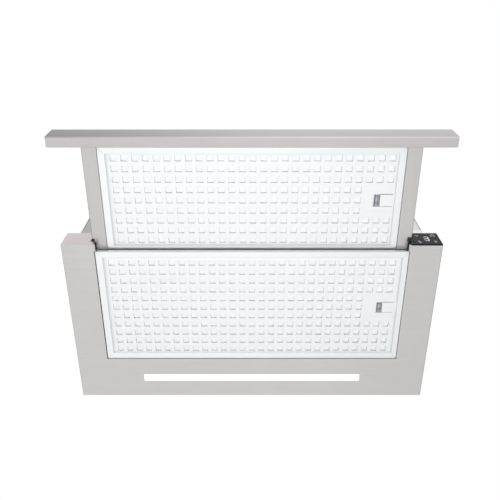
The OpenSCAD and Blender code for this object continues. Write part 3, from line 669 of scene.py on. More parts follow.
def handle():
    """Folded bar with a cap set into each end."""
    outer = handle_outline(0, 1.6, 1.3, 1.3, 0.5)
    inner = handle_outline(SHEET_T, 0.6, 0.4, 0.4, 0.4)
    bar = Shape().hollow_bar(outer, inner, "x", -HANDLE_END, HANDLE_END)
    bar = bar.piece("handle_bar", HANDLE_STEEL, "visor", "visor_handle")
    # Painted shade on the handle's front face
    toned(bar, HANDLE_FRONT_SHADE, lambda normal, place: normal.y < -0.8)
    # Painted highlight along the handle's lower front edge
    toned(bar, HANDLE_EDGE_HIGHLIGHT, lambda normal, place: -0.95 < normal.y < -0.1 and normal.z < 0)
    caps = Shape().bar(handle_outline(CAP_INSET, 0.55, 0.35, 0.35, 0.35), "x", *CAP_X)
    caps.joined(caps.mirrored())
    caps.piece("handle_caps", HANDLE_STEEL, "visor", "handle_end_caps", edge=0.25)


def side_rails():
    """Folded rails: a flat underside, a wall near its inner edge and one at its outer edge."""
    low, deck, top = VISOR_Z, VISOR_Z + SHEET_T, VISOR_TOP
    outline = rounded([
        (RAIL_IN, low, 0.35), (RAIL_OUT, low, 1.7), (RAIL_OUT, top, 0.3), (RAIL_OUT - SHEET_T, top, 0.3),
        (RAIL_OUT - SHEET_T, deck, 0.7), (RAIL_WALL + SHEET_T, deck, 0.7), (RAIL_WALL + SHEET_T, top, 0),
        (RAIL_WALL, top, 0), (RAIL_WALL, deck, 0), (RAIL_IN, deck, 0.35)], 5)
    right = Shape().bar(outline, "y", HANDLE_BACK, RAIL_BACK)
    for side, shape in (("left", right.mirrored()), ("right", right)):
        rail = shape.piece("rail_" + side, RAIL_STEEL, "visor", "visor_rail_" + side)
        # Painted shade on the rails' outer folds
        toned(rail, RAIL_FOLD_SHADE, lambda normal, place: abs(normal.x) > 0.45 and normal.z < -0.1
              and abs(place.x) > RAIL_OUT - FOLD_REACH)


def rail_shade_pads():
    """Thin black pads under the rails at the mouth, painted shade for the dark patches there; the right one
    is larger.
    """
    pads = Shape().block((245.5, SHADE_PAD_OUT), (-7.4, SHADE_PAD_BACK), SHADE_PAD_Z)
    pads.block((-SHADE_PAD_OUT, -248.2), (-4.6, SHADE_PAD_BACK), SHADE_PAD_Z)
    pads.piece("rail_shade_pads", BLACK, "visor")


handle()
side_rails()
rail_shade_pads()
finished(STEEL, "visor_crossbar", edge=0.3)
finished(ZINC, "visor_top", edge=0.3)
finished(ZINC, "slide_inner_left", "slide_inner_right", "slide_outer_left", "slide_outer_right")
finished(ZINC, "slide_middle_left", "slide_middle_right", weld=SEAM_WELD)


# Grease filters

# Frame: thickness, sheet, flat borders below and above, folds, and how the lower border slopes at its edge
FILTER_T, SKIN, BORDER, TOP_BORDER, FOLD_R, TOP_FOLD_R = 8.8, 0.8, 10.4, 6.8, 0.8, 0.9
BORDER_RISE, BORDER_SLOPE, BORDER_EDGE = 0.22, 1.0, 0.15
MITRE_GAP, LAP, HAIR = 0.45, 0.05, 0.02
PIN_IN, PIN_R = 3, 2

# Face and mesh: the sheet, the slit beside the border and the pockets' grid and walls (inset, rise)
FACE_T, SLIP, SLIT = 0.45, 0.1, 0.1
MESH_LIFT, MESH_T, MESH_CLEAR = 3.4, 2, 3
PITCH_X, POCKET, MARGIN_X, MARGIN_Y = 16, 10, 18, 20
POCKET_WALL = ((0.0, 0.0), (0.04, 0.03), (0.13, 0.14), (0.16, 0.3), (0.24, MESH_LIFT - 0.05))

# Latch: place and size, finger window, the grooves beside its plate, and heights above the filter's underside
LATCH_IN, LATCH_W, LATCH_L, LATCH_WALL, LATCH_TRAVEL = 13.4, 28.5, 19.5, 1.5, 6
LATCH_WINDOW, PLATE_PAST, PLATE_GAP, GROOVE = (0.45, 9.7), 0.6, 0.35, 0.7
TONGUE_W, TONGUE_Z, TONGUE_PLAY, SLOT_PLAY = 12, (2.2, 4.9), 0.3, 0.4
PLATE_Z, LEDGE_Z, LEDGE_LAP, LID_Z, POST_Z, DECK_LIFT = (0.45, 1.4), (2.1, 2.7), 0.2, (5.6, 6.6), 0.6, 0.5
LINING_Z = (5.42, 5.58)
# Strips lining the latch's window; the well strip is painted shade
LINING = (("rim", GREY, 0.05, 1.3), ("well", LATCH_WELL_SHADE, 1.3, 3.9), ("track", LATCH_TRACK, 3.9, 14))

# Pockets that the latch takes the place of, and the slope round the raised field there (outer, inner edge)
LATCH_COLUMNS, LATCH_ROWS = 3, 1.6
FIELD_REACH_X, FIELD_REACH_Y, FIELD_RELIEF = (12, 11.2), (18.9, 18.1), 0.3

# Latch springs
SPRING_Y, SPRING_Z, SPRING_R, SPRING_WIRE, SPRING_TURNS, SPRING_SHORT = 5.5, 3.5, 1.4, 0.25, 9, 8.6


class GreaseFilter:
    """Sizes of one filter. Half is half its width inside the folds, sides are its outer sides, under is its
    underside, the borders are the lower ones, shift is its latch's place behind the middle, pitch is the step
    of the rows of pockets, pins is how far the hinge pins reach out and grid is the pockets' offset.
    """

    def __init__(self, label, half, sides, front, back, under, right_border, back_border, shift, pitch, pins,
                 grid):
        self.label, self.body = label, label + "_filter"
        self.half, self.sides, self.front, self.back, self.under = half, sides, front, back, under
        self.borders = {"left": BORDER, "right": right_border, "front": BORDER, "back": back_border}
        self.pitch, self.pins, self.grid = pitch, pins, grid
        self.mid = (front + back) / 2 + shift
        self.latch = (half - LATCH_IN - LATCH_W, half - LATCH_IN)
        self.window = (self.latch[0] + LATCH_WINDOW[0], self.latch[0] + LATCH_WINDOW[1])
        self.plate_end = self.latch[1] + PLATE_PAST

    def columns(self):
        reach = math.floor((self.half - MARGIN_X) / PITCH_X)
        return [self.grid[0] + i * PITCH_X for i in range(-reach, reach + 1)]

    def rows(self):
        count = math.floor((self.back - self.front - MARGIN_Y - POCKET) / self.pitch + NEXT_TO) + 1
        return [self.mid + self.grid[1] + (j - (count - 1) / 2) * self.pitch for j in range(count)]

    def has_pocket(self, x, y):
        """Whether the latch leaves room for the pocket in this column and row."""
        beside = x < self.columns()[-LATCH_COLUMNS] - 1
        return beside or abs(y - self.mid - self.grid[1]) > self.pitch * LATCH_ROWS

    def is_open(self, x, y):
        """Whether the face is cut away here for the latch's window or its plate."""
        back = LATCH_L / 2 + GROOVE - SLIP
        front = LATCH_L / 2 if x < self.window[1] else back
        return self.window[0] < x < self.plate_end and -front < y - self.mid < back


FRONT = GreaseFilter("front", half=228.3, sides=(-229.4, 229.4), front=-154.0, back=11.4, under=11,
                     right_border=10.4, back_border=3.6, shift=1.7, pitch=16.9, pins=(3.5, 1.7),
                     grid=(1.5, 0.35))
REAR = GreaseFilter("rear", half=247, sides=(-247.8, 248.4), front=13.8, back=219.3, under=0.5,
                    right_border=8.8, back_border=11.4, shift=-0.05, pitch=16.6, pins=(1.3, 2.1),
                    grid=(0.3, 0.2))


def frame_strip(shape, f, side, ends=(None, None)):
    """One side of a filter's folded frame, mitred at both ends or cut square at a given place."""
    upright = side in ("left", "right")
    beside = ("front", "back") if upright else ("left", "right")
    start, stop = (f.front, f.back) if upright else f.sides
    outside = {"left": f.sides[0], "right": f.sides[1], "front": f.front, "back": f.back}[side]
    inward = 1 if side in ("left", "front") else -1
    b = f.borders[side]
    rise, slope = BORDER_RISE * b / BORDER, BORDER_SLOPE * b / BORDER
    lower = rounded([(0, 0, min(FOLD_R, b / 9)), (b - slope, rise, 0), (b, SKIN - BORDER_EDGE, 0),
                     (b, SKIN, 0), (SKIN, SKIN, 0), (SKIN, FILTER_T, 0), (0, FILTER_T, TOP_FOLD_R)])
    upper = [(SKIN - LAP, FILTER_T - SKIN), (TOP_BORDER, FILTER_T - SKIN), (TOP_BORDER, FILTER_T - HAIR),
             (SKIN - LAP, FILTER_T - HAIR)]
    for profile, slopes in ((lower, [f.borders[n] / b for n in beside]), (upper, [1, 1])):
        rings = []
        for end in (0, 1):
            ring = []
            for d, h in profile:
                across = outside + inward * d
                along = start + d * slopes[0] + MITRE_GAP if end == 0 else stop - d * slopes[1] - MITRE_GAP
                if ends[end] is not None:
                    along = ends[end]
                x, y = (across, along) if upright else (along, across)
                ring.append((x, y, f.under + h))
            rings.append(ring)
        shape.loft(rings)


def slot_bridges(shape, f, start, end):
    """The frame's right side under and over the tongue's slot, a hair inside the strips that it laps."""
    x, wall = f.sides[1] - HAIR, f.sides[1] - SKIN + HAIR
    flange, rim = f.sides[1] - f.borders["right"] + HAIR, f.sides[1] - TOP_BORDER + HAIR
    low, deck, top = f.under + HAIR, f.under + SKIN - HAIR, f.under + FILTER_T - HAIR
    below_top = f.under + FILTER_T - SKIN + HAIR
    under_slot, over_slot = f.under + TONGUE_Z[0] - TONGUE_PLAY, f.under + TONGUE_Z[1] + TONGUE_PLAY
    shape.bar(rounded([(x, low, FOLD_R), (x, under_slot, 0), (wall, under_slot, 0), (wall, deck, 0),
                       (flange, deck, 0), (flange, deck - SLIP, 0),
                       (flange + BORDER_SLOPE, low + BORDER_RISE, 0)]), "y", start, end)
    shape.bar([(x, over_slot), (x, top), (rim, top), (rim, below_top), (wall, below_top), (wall, over_slot)],
              "y", start, end)


def filter_frame(f):
    """Folded frame with a slot for the latch's tongue at the right and hinge pins at the left."""
    shape = Shape()
    for side in ("left", "front", "back"):
        frame_strip(shape, f, side)
    slot = (f.mid - TONGUE_W / 2 - SLOT_PLAY, f.mid + TONGUE_W / 2 + SLOT_PLAY)
    frame_strip(shape, f, "right", (None, slot[0]))
    frame_strip(shape, f, "right", (slot[1], None))
    slot_bridges(shape, f, slot[0] - SLOT_PLAY, slot[1] + SLOT_PLAY)
    pin = (PIN_IN - f.half, f.under + FILTER_T / 2)
    shape.rod("y", pin, PIN_R, f.front - f.pins[0], f.front + SKIN)
    shape.rod("y", pin, PIN_R, f.back - SKIN, f.back + f.pins[1])
    shape.piece(f.label + "_frame", FRAME, f.body, f.label + "_filter_frame")


def crossing(lines, middle):
    """Offsets from a pocket's middle of its two edges and of the lines that cross it."""
    return [v - middle for v in lines if abs(v - middle) < POCKET / 2 + NEXT_TO]


def pocket(shape, x, y, z, dx, dy):
    """Walls of a pocket, with a point wherever a line of the face meets its edge."""
    half = POCKET / 2
    outline = ([(u, -half) for u in dx[:-1]] + [(half, v) for v in dy[:-1]]
               + [(u, half) for u in dx[:0:-1]] + [(-half, v) for v in dy[:0:-1]])
    rings = []
    for inset, rise in POCKET_WALL:
        share = 1 - inset / half
        rings.append([(x + u * share, y + v * share, z + rise) for u, v in outline])
    shape.loft(rings, False)


def filter_face(f):
    """Face panel with square pockets pressed up to the mesh, and a cut-out for the latch."""
    z, half = f.under + SKIN, POCKET / 2
    x_edge = f.half - SKIN - SLIP
    right, back = f.sides[1] - f.borders["right"], f.back - f.borders["back"]
    left, front = f.sides[0] + BORDER, f.front + BORDER
    slit_x, slit_y = (left, left + SLIT, right - SLIT, right), (front, front + SLIT, back - SLIT, back)
    field_x = [f.latch[0] - reach for reach in FIELD_REACH_X]
    field_y = [f.mid + s * reach for s in (-1, 1) for reach in FIELD_REACH_Y]
    xs, ys = f.columns(), f.rows()
    lines_x = unique([-x_edge, x_edge, *f.window, f.plate_end, *slit_x, *field_x,
                      *(c - half for c in xs), *(c + half for c in xs)])
    lines_y = unique([f.front + SKIN + SLIP, f.back - SKIN - SLIP, *slit_y, *field_y,
                      *(f.mid + s * (LATCH_L / 2 + g) for s in (-1, 1) for g in (0, GROOVE - SLIP)),
                      *(c - half for c in ys), *(c + half for c in ys)])

    def level(x, y):
        """The field round the latch stands out a little."""
        across = field_x[1] - NEXT_TO <= x < slit_x[2] - NEXT_TO
        return z - FIELD_RELIEF if across and abs(y - f.mid) <= FIELD_REACH_Y[1] + NEXT_TO else z

    shape = Shape()
    for x0, x1 in zip(lines_x, lines_x[1:]):
        for y0, y1 in zip(lines_y, lines_y[1:]):
            cx, cy = (x0 + x1) / 2, (y0 + y1) / 2
            col = min(xs, key=lambda v: abs(v - cx))
            row = min(ys, key=lambda v: abs(v - cy))
            in_pocket = abs(cx - col) < half and abs(cy - row) < half and f.has_pocket(col, row)
            inside = slit_x[0] < cx < slit_x[3] and slit_y[0] < cy < slit_y[3]
            in_slit = inside and not (slit_x[1] < cx < slit_x[2] and slit_y[1] < cy < slit_y[2])
            if not (f.is_open(cx, cy) or in_pocket or in_slit):
                corners = ((x0, y0), (x0, y1), (x1, y1), (x1, y0))
                shape.add([(x, y, level(x, y)) for x, y in corners], [(0, 1, 2, 3)])
    for x, y in itertools.product(xs, ys):
        if f.has_pocket(x, y):
            pocket(shape, x, y, z, crossing(lines_x, x), crossing(lines_y, y))
    panel = shape.piece(f.label + "_face", FILTER, f.body, f.label + "_filter_face", smooth=12)
    sheet = panel.modifiers.new("sheet", "SOLIDIFY")
    sheet.thickness = FACE_T * MM
    sheet.offset = -1.0 if normals_down(panel) else 1.0


def normals_down(panel):
    """Whether the flat field's faces look down, so that the sheet gets its thickness upwards."""
    flat = [p for p in panel.data.polygons if abs(p.normal.z) > 0.99]
    return sum(p.normal.z * p.area for p in flat) < 0


def filter_mesh(f):
    """Flat mesh pad that shows through the pockets, cut away round the latch."""
    z = f.under + SKIN + MESH_LIFT
    x, y0, y1 = f.half - SKIN, f.front + SKIN, f.back - SKIN
    clear = LATCH_WALL + MESH_CLEAR
    cut_x, cut_y0, cut_y1 = f.latch[0] - clear, f.mid - LATCH_L / 2 - clear, f.mid + LATCH_L / 2 + clear
    outline = [(-x, y0), (x, y0), (x, cut_y0), (cut_x, cut_y0),
               (cut_x, cut_y1), (x, cut_y1), (x, y1), (-x, y1)]
    pad = Shape().bar(outline, "z", z, z + MESH_T)
    pad.piece(f.label + "_mesh", MESH, f.body, f.label + "_filter_mesh")


def coil(shape, x, y, z, radius, wire, turns):
    """A compression spring's wire along X, in steps round its turns and with flat sides."""
    steps, sides = 12, 6
    rings = []
    for i in range(turns * steps + 1):
        a = 2 * math.pi * i / steps
        cx = x[0] + wire + (x[1] - x[0] - 2 * wire) * i / (turns * steps)
        ring = []
        for k in range(sides):
            b = 2 * math.pi * k / sides
            r = radius - wire + wire * math.cos(b)
            ring.append((cx + wire * math.sin(b), y + r * math.cos(a), z + r * math.sin(a)))
        rings.append(ring)
    shape.loft(rings)


def latch_springs(f):
    """Two coils between the case and the latch, drawn at one length."""
    length = LATCH_TRAVEL + SPRING_SHORT
    shape = Shape()
    for s in (-1, 1):
        coil(shape, (f.latch[0], f.latch[0] + length), f.mid + s * SPRING_Y, f.under + SPRING_Z, SPRING_R,
             SPRING_WIRE, SPRING_TURNS)
    springs = shape.piece(f.label + "_springs", LATCH, f.body, f.label + "_latch_springs", smooth=60)
    at(f.latch[0], f.mid, f.under + SPRING_Z)
    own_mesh(springs)


def latch_case(f):
    """Latch case: plate flush with the face, between two grooves, and a box above it."""
    z, (x0, x1) = f.under, f.latch
    inner, outer, groove = LATCH_L / 2, LATCH_L / 2 + LATCH_WALL, LATCH_L / 2 + GROOVE
    tongue = TONGUE_W / 2 + TONGUE_PLAY
    end, plate_end, plate_y = x1 + LATCH_WALL, x1 + LATCH_WALL - LAP, inner - PLATE_GAP
    plate = rounded([(f.window[1], f.mid - plate_y, 0.3), (plate_end, f.mid - plate_y, 0),
                     (plate_end, f.mid + plate_y, 0), (f.window[1], f.mid + plate_y, 0.3)], 3)
    deck, lid, top = z + SKIN + DECK_LIFT, z + LID_Z[0], z + LID_Z[1]
    width = (f.mid - groove, f.mid + groove)
    blocks = [((x0 - LATCH_WALL, x0), width, (deck, top)), ((x0, end), width, (lid, top)),
              ((x1, end), (f.mid - tongue, f.mid + tongue), (z + TONGUE_Z[1] + TONGUE_PLAY, lid))]
    for s in (-1, 1):
        wall = sorted((f.mid + s * groove, f.mid + s * outer))
        ledge = sorted((f.mid + s * (inner - LEDGE_LAP), f.mid + s * groove))
        post = sorted((f.mid + s * tongue, f.mid + s * groove))
        blocks += [((x0 - LATCH_WALL, end), wall, (deck, top)),
                   ((f.window[1], end), ledge, (z + LEDGE_Z[0], z + LEDGE_Z[1])),
                   ((x1, end), post, (z + POST_Z, top))]
    case = Shape().bar(plate, "z", z + PLATE_Z[0], z + PLATE_Z[1]).united(blocks)
    case.piece(f.label + "_latch_case", FILTER, f.body, f.label + "_latch_housing", edge=0.12, flat=True)
    for part, finish, start, stop in LINING:
        strip = Shape().block((x0 + start, x0 + stop), width, (z + LINING_Z[0], z + LINING_Z[1]))
        strip.piece(f.label + "_latch_" + part, finish, f.body)


for unit in (FRONT, REAR):
    filter_frame(unit)
    filter_face(unit)
    filter_mesh(unit)
    latch_springs(unit)
    latch_case(unit)
finished(LATCH, "front_latch", "rear_latch", edge=0.1)


# Tray and mouth

TRAY_FOLD, OPENING_FOLD, OPENING_MOVE = 1.1, 0.35, 1.0
MOUTH_Y, FRONT_FACE_IN = 11, 240
HEM_OUT, HEM_Z, HEM_Y, TAB_Y = OPEN_X + 0.4, (0.02, 0.8), (12.5, OPEN_Y + 0.8), (0.5, 11.8)
HEM_IN, TAB_IN = (248.9, 248.95), (246.4, 247.1)
SEAL_FRONT, SEAL_BACK, SEAL_REACH, SEAL_TOP, SEAL_T = 11.9, 12.4, 13.4, 10.65, 0.2
CARRIER_X, CARRIER_Y, CARRIER_Z = 246.2, (11.88, 12.3), (9.3, 10.62)
GUIDE_BACK, GUIDE_OUT, GUIDE_TOP, POST_TOP = 11.9, 255.2, 10.6, VISOR_TOP + 2
CATCH_HALF_W, CATCH_FOOT, CATCH_STEP = 5, 0.35, 0.4


def near(a, b):
    return abs(a - b) < 0.06


def tray_outside(a, b):
    """The edge from a to b lies on the tray's outside: round its underside or up its corners."""
    bottom = near(a.z, 0) and near(b.z, 0)
    side = near(abs(a.x), HALF_W) and near(a.x, b.x)
    back = near(a.y, HOOD_D) and near(b.y, HOOD_D)
    front_left = near(a.y, 0) and near(b.y, 0) and a.x < -FRONT_FACE_IN and b.x < -FRONT_FACE_IN
    return (side or back or front_left) if bottom else side and (back or front_left)


def tray_opening(a, b):
    """The edge from a to b lies along the opening's sides or its rear."""
    bottom = near(a.z, 0) and near(b.z, 0)
    along = near(abs(a.x), OPEN_X) and near(a.x, b.x) and min(a.y, b.y) > MOUTH_Y
    across = near(a.y, OPEN_Y + OPENING_MOVE) and near(b.y, OPEN_Y + OPENING_MOVE)
    return bottom and (along or across)


def opening_rear(place):
    """How far back a vertex moves: the opening's rear edge lies a little further back than the node's."""
    on_edge = abs(place.x) < OPEN_X + 0.1 and OPEN_Y - 0.1 < place.y < OPEN_Y + 0.9
    return OPENING_MOVE if on_edge else 0.0


def tray():
    """The tray with rounded folds; painted shade on its folds and a painted reflection on its left front."""
    sheet = folded("tray", "tray_sheet", STEEL, "hood_body",
                   [(TRAY_FOLD, tray_outside), (OPENING_FOLD, tray_opening)], opening_rear)
    # Painted shade on the tray's side and rear folds
    toned(sheet, SIDE_FOLD_SHADE, lambda normal, place: abs(normal.x) > 0.2 and normal.z < -0.1
          and abs(place.x) > HALF_W - FOLD_REACH)
    toned(sheet, REAR_FOLD_SHADE, lambda normal, place: normal.y > 0.2 and normal.z < -0.1
          and place.y > HOOD_D - FOLD_REACH)
    # Painted reflection on the tray's left front face
    toned(sheet, FRONT_REFLECTION_STEEL, lambda normal, place: normal.y < -0.8 and place.x < 0 and place.y < FOLD_REACH)


def opening_hem():
    """Turned-in edges along the opening's sides, with a tab in front of each."""
    hem = Shape()
    for (left_in, right_in), y in ((HEM_IN, HEM_Y), (TAB_IN, TAB_Y)):
        hem.block((right_in, HEM_OUT), y, HEM_Z)
        hem.block((-HEM_OUT, -left_in), y, HEM_Z)
    hem.piece("opening_hem", STEEL, "hood_body", edge=0.2)


def seal():
    """Black lip with a thin flange on top, on a light carrier strip."""
    flange = SEAL_TOP - SEAL_T
    lip = rounded([(SEAL_FRONT, 5.6, 0.2), (SEAL_BACK, 5.6, 0), (SEAL_BACK, flange, 0),
                   (SEAL_REACH, flange, 0), (SEAL_REACH, SEAL_TOP, 0.1), (SEAL_BACK, SEAL_TOP, 0),
                   (SEAL_BACK - SEAL_T, 8.7, 0), (SEAL_FRONT, 8.4, 0.2)], 3)
    Shape().bar(lip, "x", -OPEN_X, OPEN_X).piece("seal_lip", RUBBER, "hood_body", "visor_seal")
    carrier = Shape().block((-CARRIER_X, CARRIER_X), CARRIER_Y, CARRIER_Z)
    carrier.piece("seal_carrier", BRIGHT_BAR, "hood_body", edge=0.1)


def mouth_guides():
    """Black stepped guides at the mouth's corners; the right one starts a little further back."""
    guides = Shape()
    for side, front in ((-1, 0.8), (1, 2.0)):
        guide = Shape().block((246.6, 248.0), (0.9, GUIDE_BACK), (8.8, GUIDE_TOP))
        guide.block((247.0, GUIDE_OUT), (GUIDE_BACK - 0.5, GUIDE_BACK), (9.8, GUIDE_TOP))
        guide.block((253.3, GUIDE_OUT), (front, GUIDE_BACK), (8.7, POST_TOP))
        guide.block((253.0, GUIDE_OUT), (-0.3, front), (10.7, 20))
        guides.joined(guide if side > 0 else guide.mirrored())
    guides.piece("mouth_guides", BLACK, "hood_body", "corner_guides", edge=0.1)


def catch(name, node, body, x_wall, x_tip, y, z):
    """Spring clip: a foot on the wall, a step and a nose under the latch's tongue."""
    s = 1 if x_wall > x_tip else -1
    outline = [(x_wall, z[0]), (x_wall - s * CATCH_FOOT, z[0]), (x_tip + s * 0.15, z[1] - 0.5),
               (x_tip, z[1] - 0.2), (x_tip + s * CATCH_STEP, z[1]), (x_wall, z[1])]
    clip = Shape().bar(outline, "y", y - CATCH_HALF_W, y + CATCH_HALF_W)
    clip.piece(name, SPRING, body, node)


tray()
opening_hem()
finished(BRIGHT_BAR, "front_crossbar")
seal()
mouth_guides()
catch("front_clip", "front_catch", "visor", RAIL_WALL, 229.6, FRONT.mid, (VISOR_Z + 1, VISOR_Z + 2.1))
catch("rear_clip", "rear_catch", "hood_body", OPEN_X, OPEN_X - 1.2, REAR.mid, (0.6, 2.6))


# Touch panel, its signs and the light

PANEL_T, SIGN_T, SIGN_SUNK = 2, 0.06, 0.02
DIGIT_X, DIGIT_Z, DIGIT_BAR, DIGIT_GAP = (275.0, 281.6), (13.4, 20.4, 27.4), 1.3, 0.35
RING, RING_R, RING_ANGLES = (290.6, 31.6), (2.5, 3.6), range(-60, 241, 15)

# Strokes of the tick, the slant, the plus and the ring: two ends and a width
STROKES = (
    ((262.6, 33.4), (265.4, 29.2), 0.9), ((265.0, 29.2), (267.9, 33.4), 0.9),
    ((263.9, 13.2), (266.9, 6.2), 1.7),
    ((288.2, 10.4), (292.8, 10.4), 1.5), ((290.5, 13.4), (290.5, 7.4), 1.5),
    ((290.6, 33.0), (290.6, 36.6), 1.0),
)


def touch_panel():
    """Black glass with a notch at its lower left for the visor."""
    outline = rounded([(PANEL_LEFT, PANEL_LOW, 0.4), (PANEL_RIGHT, PANEL_LOW, 0.6),
                       (PANEL_RIGHT, PANEL_TOP, 0.6), (NOTCH_X, PANEL_TOP, 0.4), (NOTCH_X, NOTCH_Z, 0.3),
                       (PANEL_LEFT, NOTCH_Z, 0.3)], 3)
    glass = Shape().bar(outline, "y", 0, PANEL_T)
    glass.piece("touch_panel", GLASS, "hood_body", "control_glass", edge=0.3)


def flat_signs(name, outlines, finish):
    """Printed signs that lie on the glass."""
    shape = Shape()
    for outline in outlines:
        shape.bar(outline, "y", -SIGN_T, SIGN_SUNK)
    shape.piece(name, finish, "hood_body")


def stroke(a, b, width, pointed=False):
    """A straight stroke with square ends, or with pointed ones a little short of a and b."""
    a, b = Vector(a), Vector(b)
    d = (b - a).normalized()
    n = Vector((-d.y, d.x)) * width / 2
    if not pointed:
        return [tuple(p) for p in (a - n, b - n, b + n, a + n)]
    a, b = a + d * DIGIT_GAP, b - d * DIGIT_GAP
    inner = d * width / 2
    return [tuple(p) for p in (a, a + inner - n, b - inner - n, b, b - inner + n, a + inner + n)]


def signs():
    """Plain signs round a seven-bar digit that shows a three."""
    open_ring = arc(RING, RING_R[1], RING_ANGLES) + arc(RING, RING_R[0], reversed(RING_ANGLES))
    flat_signs("key_signs", [stroke(*ends) for ends in STROKES] + [open_ring], PRINT)
    (left, right), (low, mid, high) = DIGIT_X, DIGIT_Z
    lit = [((left, high), (right, high)), ((right, high), (right, mid)), ((right, mid), (right, low)),
           ((left, low), (right, low)), ((left, mid), (right, mid))]
    unlit = [((left, high), (left, mid)), ((left, mid), (left, low))]
    flat_signs("digit_lit", [stroke(*ends, DIGIT_BAR, True) for ends in lit], DIGIT_ON)
    flat_signs("digit_unlit", [stroke(*ends, DIGIT_BAR, True) for ends in unlit], DIGIT_OFF)


touch_panel()
signs()
finished(BLACK, "control_housing")
finished(BOARD, "control_board")
finished(WINDOW, "led_diffuser")
finished(STRIP, "led_board")
finished(GREY, "led_driver", edge=0.4)
finished(CABLE, "wiring_loom", weld=SEAM_WELD)


# Casing and blowers

BLOWER_X, MOTOR_SCREW_R, MOTOR_SCREWS, MOTOR_SCREW_L = 165, 50, (90, 210, 330), 16
COLLAR_SCREW_R, COLLAR_SCREWS, COLLAR_SCREW_L, COLLAR_FLANGE = 84, (45, 135, 225, 315), 8, 1.5
THREAD_R, THREAD_PITCH, THREAD_TOP, TIP_R, TIP_L = (1.65, 2.0), 0.8, 0.5, 0.8, 0.6

# Pan head (radius, height over its seat) and its recess
SCREW_HEAD = ((2.0, -0.02), (3.6, 0), (3.6, 0.7), (3.35, 1.35), (2.8, 1.8))
RECESS_LONG, RECESS_WIDE, RECESS_Z = 1.9, 0.45, (1.75, 1.99)

finished(CASING_ZINC, "casing_shell")
finished(ZINC, "casing_top", "slide_brackets")
finished(LINTEL_ZINC, "casing_lintel", edge=0.3)
finished(GREY, "scroll_left", "scroll_right", "outlet_plenum")
finished(DARK, "impeller_left", "impeller_right")
finished(MOTOR, "motor_left", "motor_right")
finished(BRIGHT, "motor_shaft_left", "motor_shaft_right", "flap_axle")
finished(BLACK, "inlet_guards")
finished(RUBBER, "motor_grommets")
finished(GREY, "run_capacitor", edge=0.5)
finished(DARK, "terminal_box", edge=0.4)
finished(BLACK, "cable_gland", "outlet_collar", edge=0.4)
finished(DARK, "flap_front", "flap_rear", edge=0.2)


def pan_screw(shape, x, y, seat, length):
    """Pan head with a cross recess, on a threaded shank."""
    profile = [(TIP_R, seat - length - TIP_L)]
    for i in range(math.ceil((length - THREAD_TOP) / THREAD_PITCH)):
        h = seat - length + i * THREAD_PITCH
        profile += [(THREAD_R[0], h), (THREAD_R[1], h + THREAD_PITCH / 2)]
    profile += [(r, seat + h) for r, h in SCREW_HEAD]
    shape.loft([[(cx, cy, h) for cx, cy in circle((x, y), r)] for r, h in profile])
    for half_x, half_y in ((RECESS_LONG, RECESS_WIDE), (RECESS_WIDE, RECESS_LONG)):
        shape.block((x - half_x, x + half_x), (y - half_y, y + half_y),
                    (seat + RECESS_Z[0], seat + RECESS_Z[1]))


def top_screws():
    """Screws for both motors and for the collar, seen on the casing's top."""
    screws = Shape()
    for side in (-1, 1):
        for x, y in arc((BLOWER_X, HALF_D), MOTOR_SCREW_R, MOTOR_SCREWS):
            pan_screw(screws, side * x, y, HOOD_H, MOTOR_SCREW_L)
    for x, y in arc((0, HALF_D), COLLAR_SCREW_R, COLLAR_SCREWS):
        pan_screw(screws, x, y, HOOD_H + COLLAR_FLANGE, COLLAR_SCREW_L)
    screws.piece("pan_screws", BRIGHT, "hood_body", "top_screws", smooth=40)


top_screws()


# Studio

WHITE = (1.0, 1.0, 1.0)
FLOOR_HALF, FLOOR_Z = 9000, -1270
CAMERA_PLACE, CAMERA_TILT, CAMERA_LENS, CAMERA_SENSOR = (-3.0, -436.2, -878.5), 153.09, 45.1, 36.0


def background_share(f):
    """1 for the rays that show the background: from the camera, in gloss and through glass."""
    camera_ray, gloss_ray, glass_ray = (
        f.node("ShaderNodeLightPath", output=name)
        for name in ("Is Camera Ray", "Is Glossy Ray", "Is Transmission Ray"))
    through = f.node("ShaderNodeMath", {"operation": "MAXIMUM"}, {0: gloss_ray, 1: glass_ray})
    return f.node("ShaderNodeMath", {"operation": "MAXIMUM"}, {0: camera_ray, 1: through})


def studio_world():
    """Soft light from all round, in front of a white background."""
    world = bpy.data.worlds.new("studio")
    bpy.context.scene.world = world
    world.use_nodes = True
    f = Finish("studio", world.node_tree)
    soft = f.node("ShaderNodeBackground", None, {"Color": WHITE, "Strength": 0.5})
    backdrop = f.node("ShaderNodeBackground", None, {"Color": WHITE, "Strength": 1.0})
    f.output(f.node("ShaderNodeMixShader", None, {0: background_share(f), 1: soft, 2: backdrop}),
             "ShaderNodeOutputWorld")


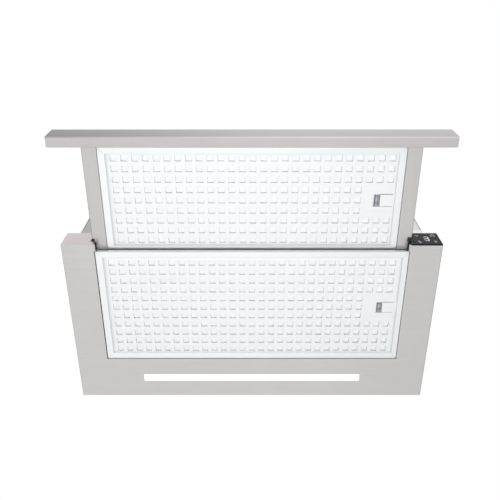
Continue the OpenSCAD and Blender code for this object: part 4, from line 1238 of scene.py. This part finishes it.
def floor_finish():
    """Pale matt floor that keeps shadows and still shows white in gloss."""
    f = Finish("studio_floor")
    grain = f.noise(60.0, 4.0)
    matt = f.node("ShaderNodeBsdfPrincipled", None, {
        "Base Color": f.mix((0.84, 0.84, 0.84), (0.88, 0.88, 0.88), grain), "Roughness": 0.6 + grain * 0.2})
    pale = f.node("ShaderNodeEmission", None, {"Color": WHITE, "Strength": 1.0})
    f.output(f.node("ShaderNodeMixShader", None, {0: background_share(f) * 0.7, 1: matt, 2: pale}),
             "ShaderNodeOutputMaterial")
    return f.material


def studio_floor():
    """Wide floor under the hood."""
    mesh = bpy.data.meshes.new("studio_floor")
    corners = ((-1, -1), (1, -1), (1, 1), (-1, 1))
    mesh.from_pydata([at(x * FLOOR_HALF, y * FLOOR_HALF, FLOOR_Z) for x, y in corners], [], [(0, 1, 2, 3)])
    mesh.materials.append(floor_finish())
    floor = bpy.data.objects.new("studio_floor", mesh)
    bpy.context.scene.collection.objects.link(floor)


def lamp(name, place, aim, size, power):
    """A lamp that neither the camera nor gloss shows; its places are in metres."""
    data = bpy.data.lights.new(name, "AREA")
    data.shape = "RECTANGLE"
    data.size, data.size_y = size
    data.energy = power
    made = bpy.data.objects.new(name, data)
    made.location = place
    made.rotation_mode = "QUATERNION"
    made.rotation_quaternion = (Vector(aim) - Vector(place)).to_track_quat("-Z", "Y")
    made.visible_camera = False
    made.visible_glossy = False
    bpy.context.scene.collection.objects.link(made)


def photo_camera():
    """Camera under the hood's front, as in the photo."""
    data = bpy.data.cameras.new("camera")
    data.lens = CAMERA_LENS
    data.sensor_width = CAMERA_SENSOR
    camera = bpy.data.objects.new("camera", data)
    camera.location = at(*CAMERA_PLACE)
    camera.rotation_euler = (math.radians(CAMERA_TILT), 0, 0)
    bpy.context.scene.collection.objects.link(camera)
    bpy.context.scene.camera = camera


studio_world()
lamp("key_from_below", (-0.03, -0.34, -1.38), (0.0, -0.05, -0.18), (1.0, 1.0), 12.7)
lamp("right_side", (2.1, -1.0, 0.1), (0.28, 0.0, -0.05), (1.2, 0.4), 20)
lamp("above", (0.3, -0.4, 1.9), (0, 0, 0), (2.0, 2.0), 14)
studio_floor()
photo_camera()
bpy.context.scene.view_settings.view_transform = "Standard"
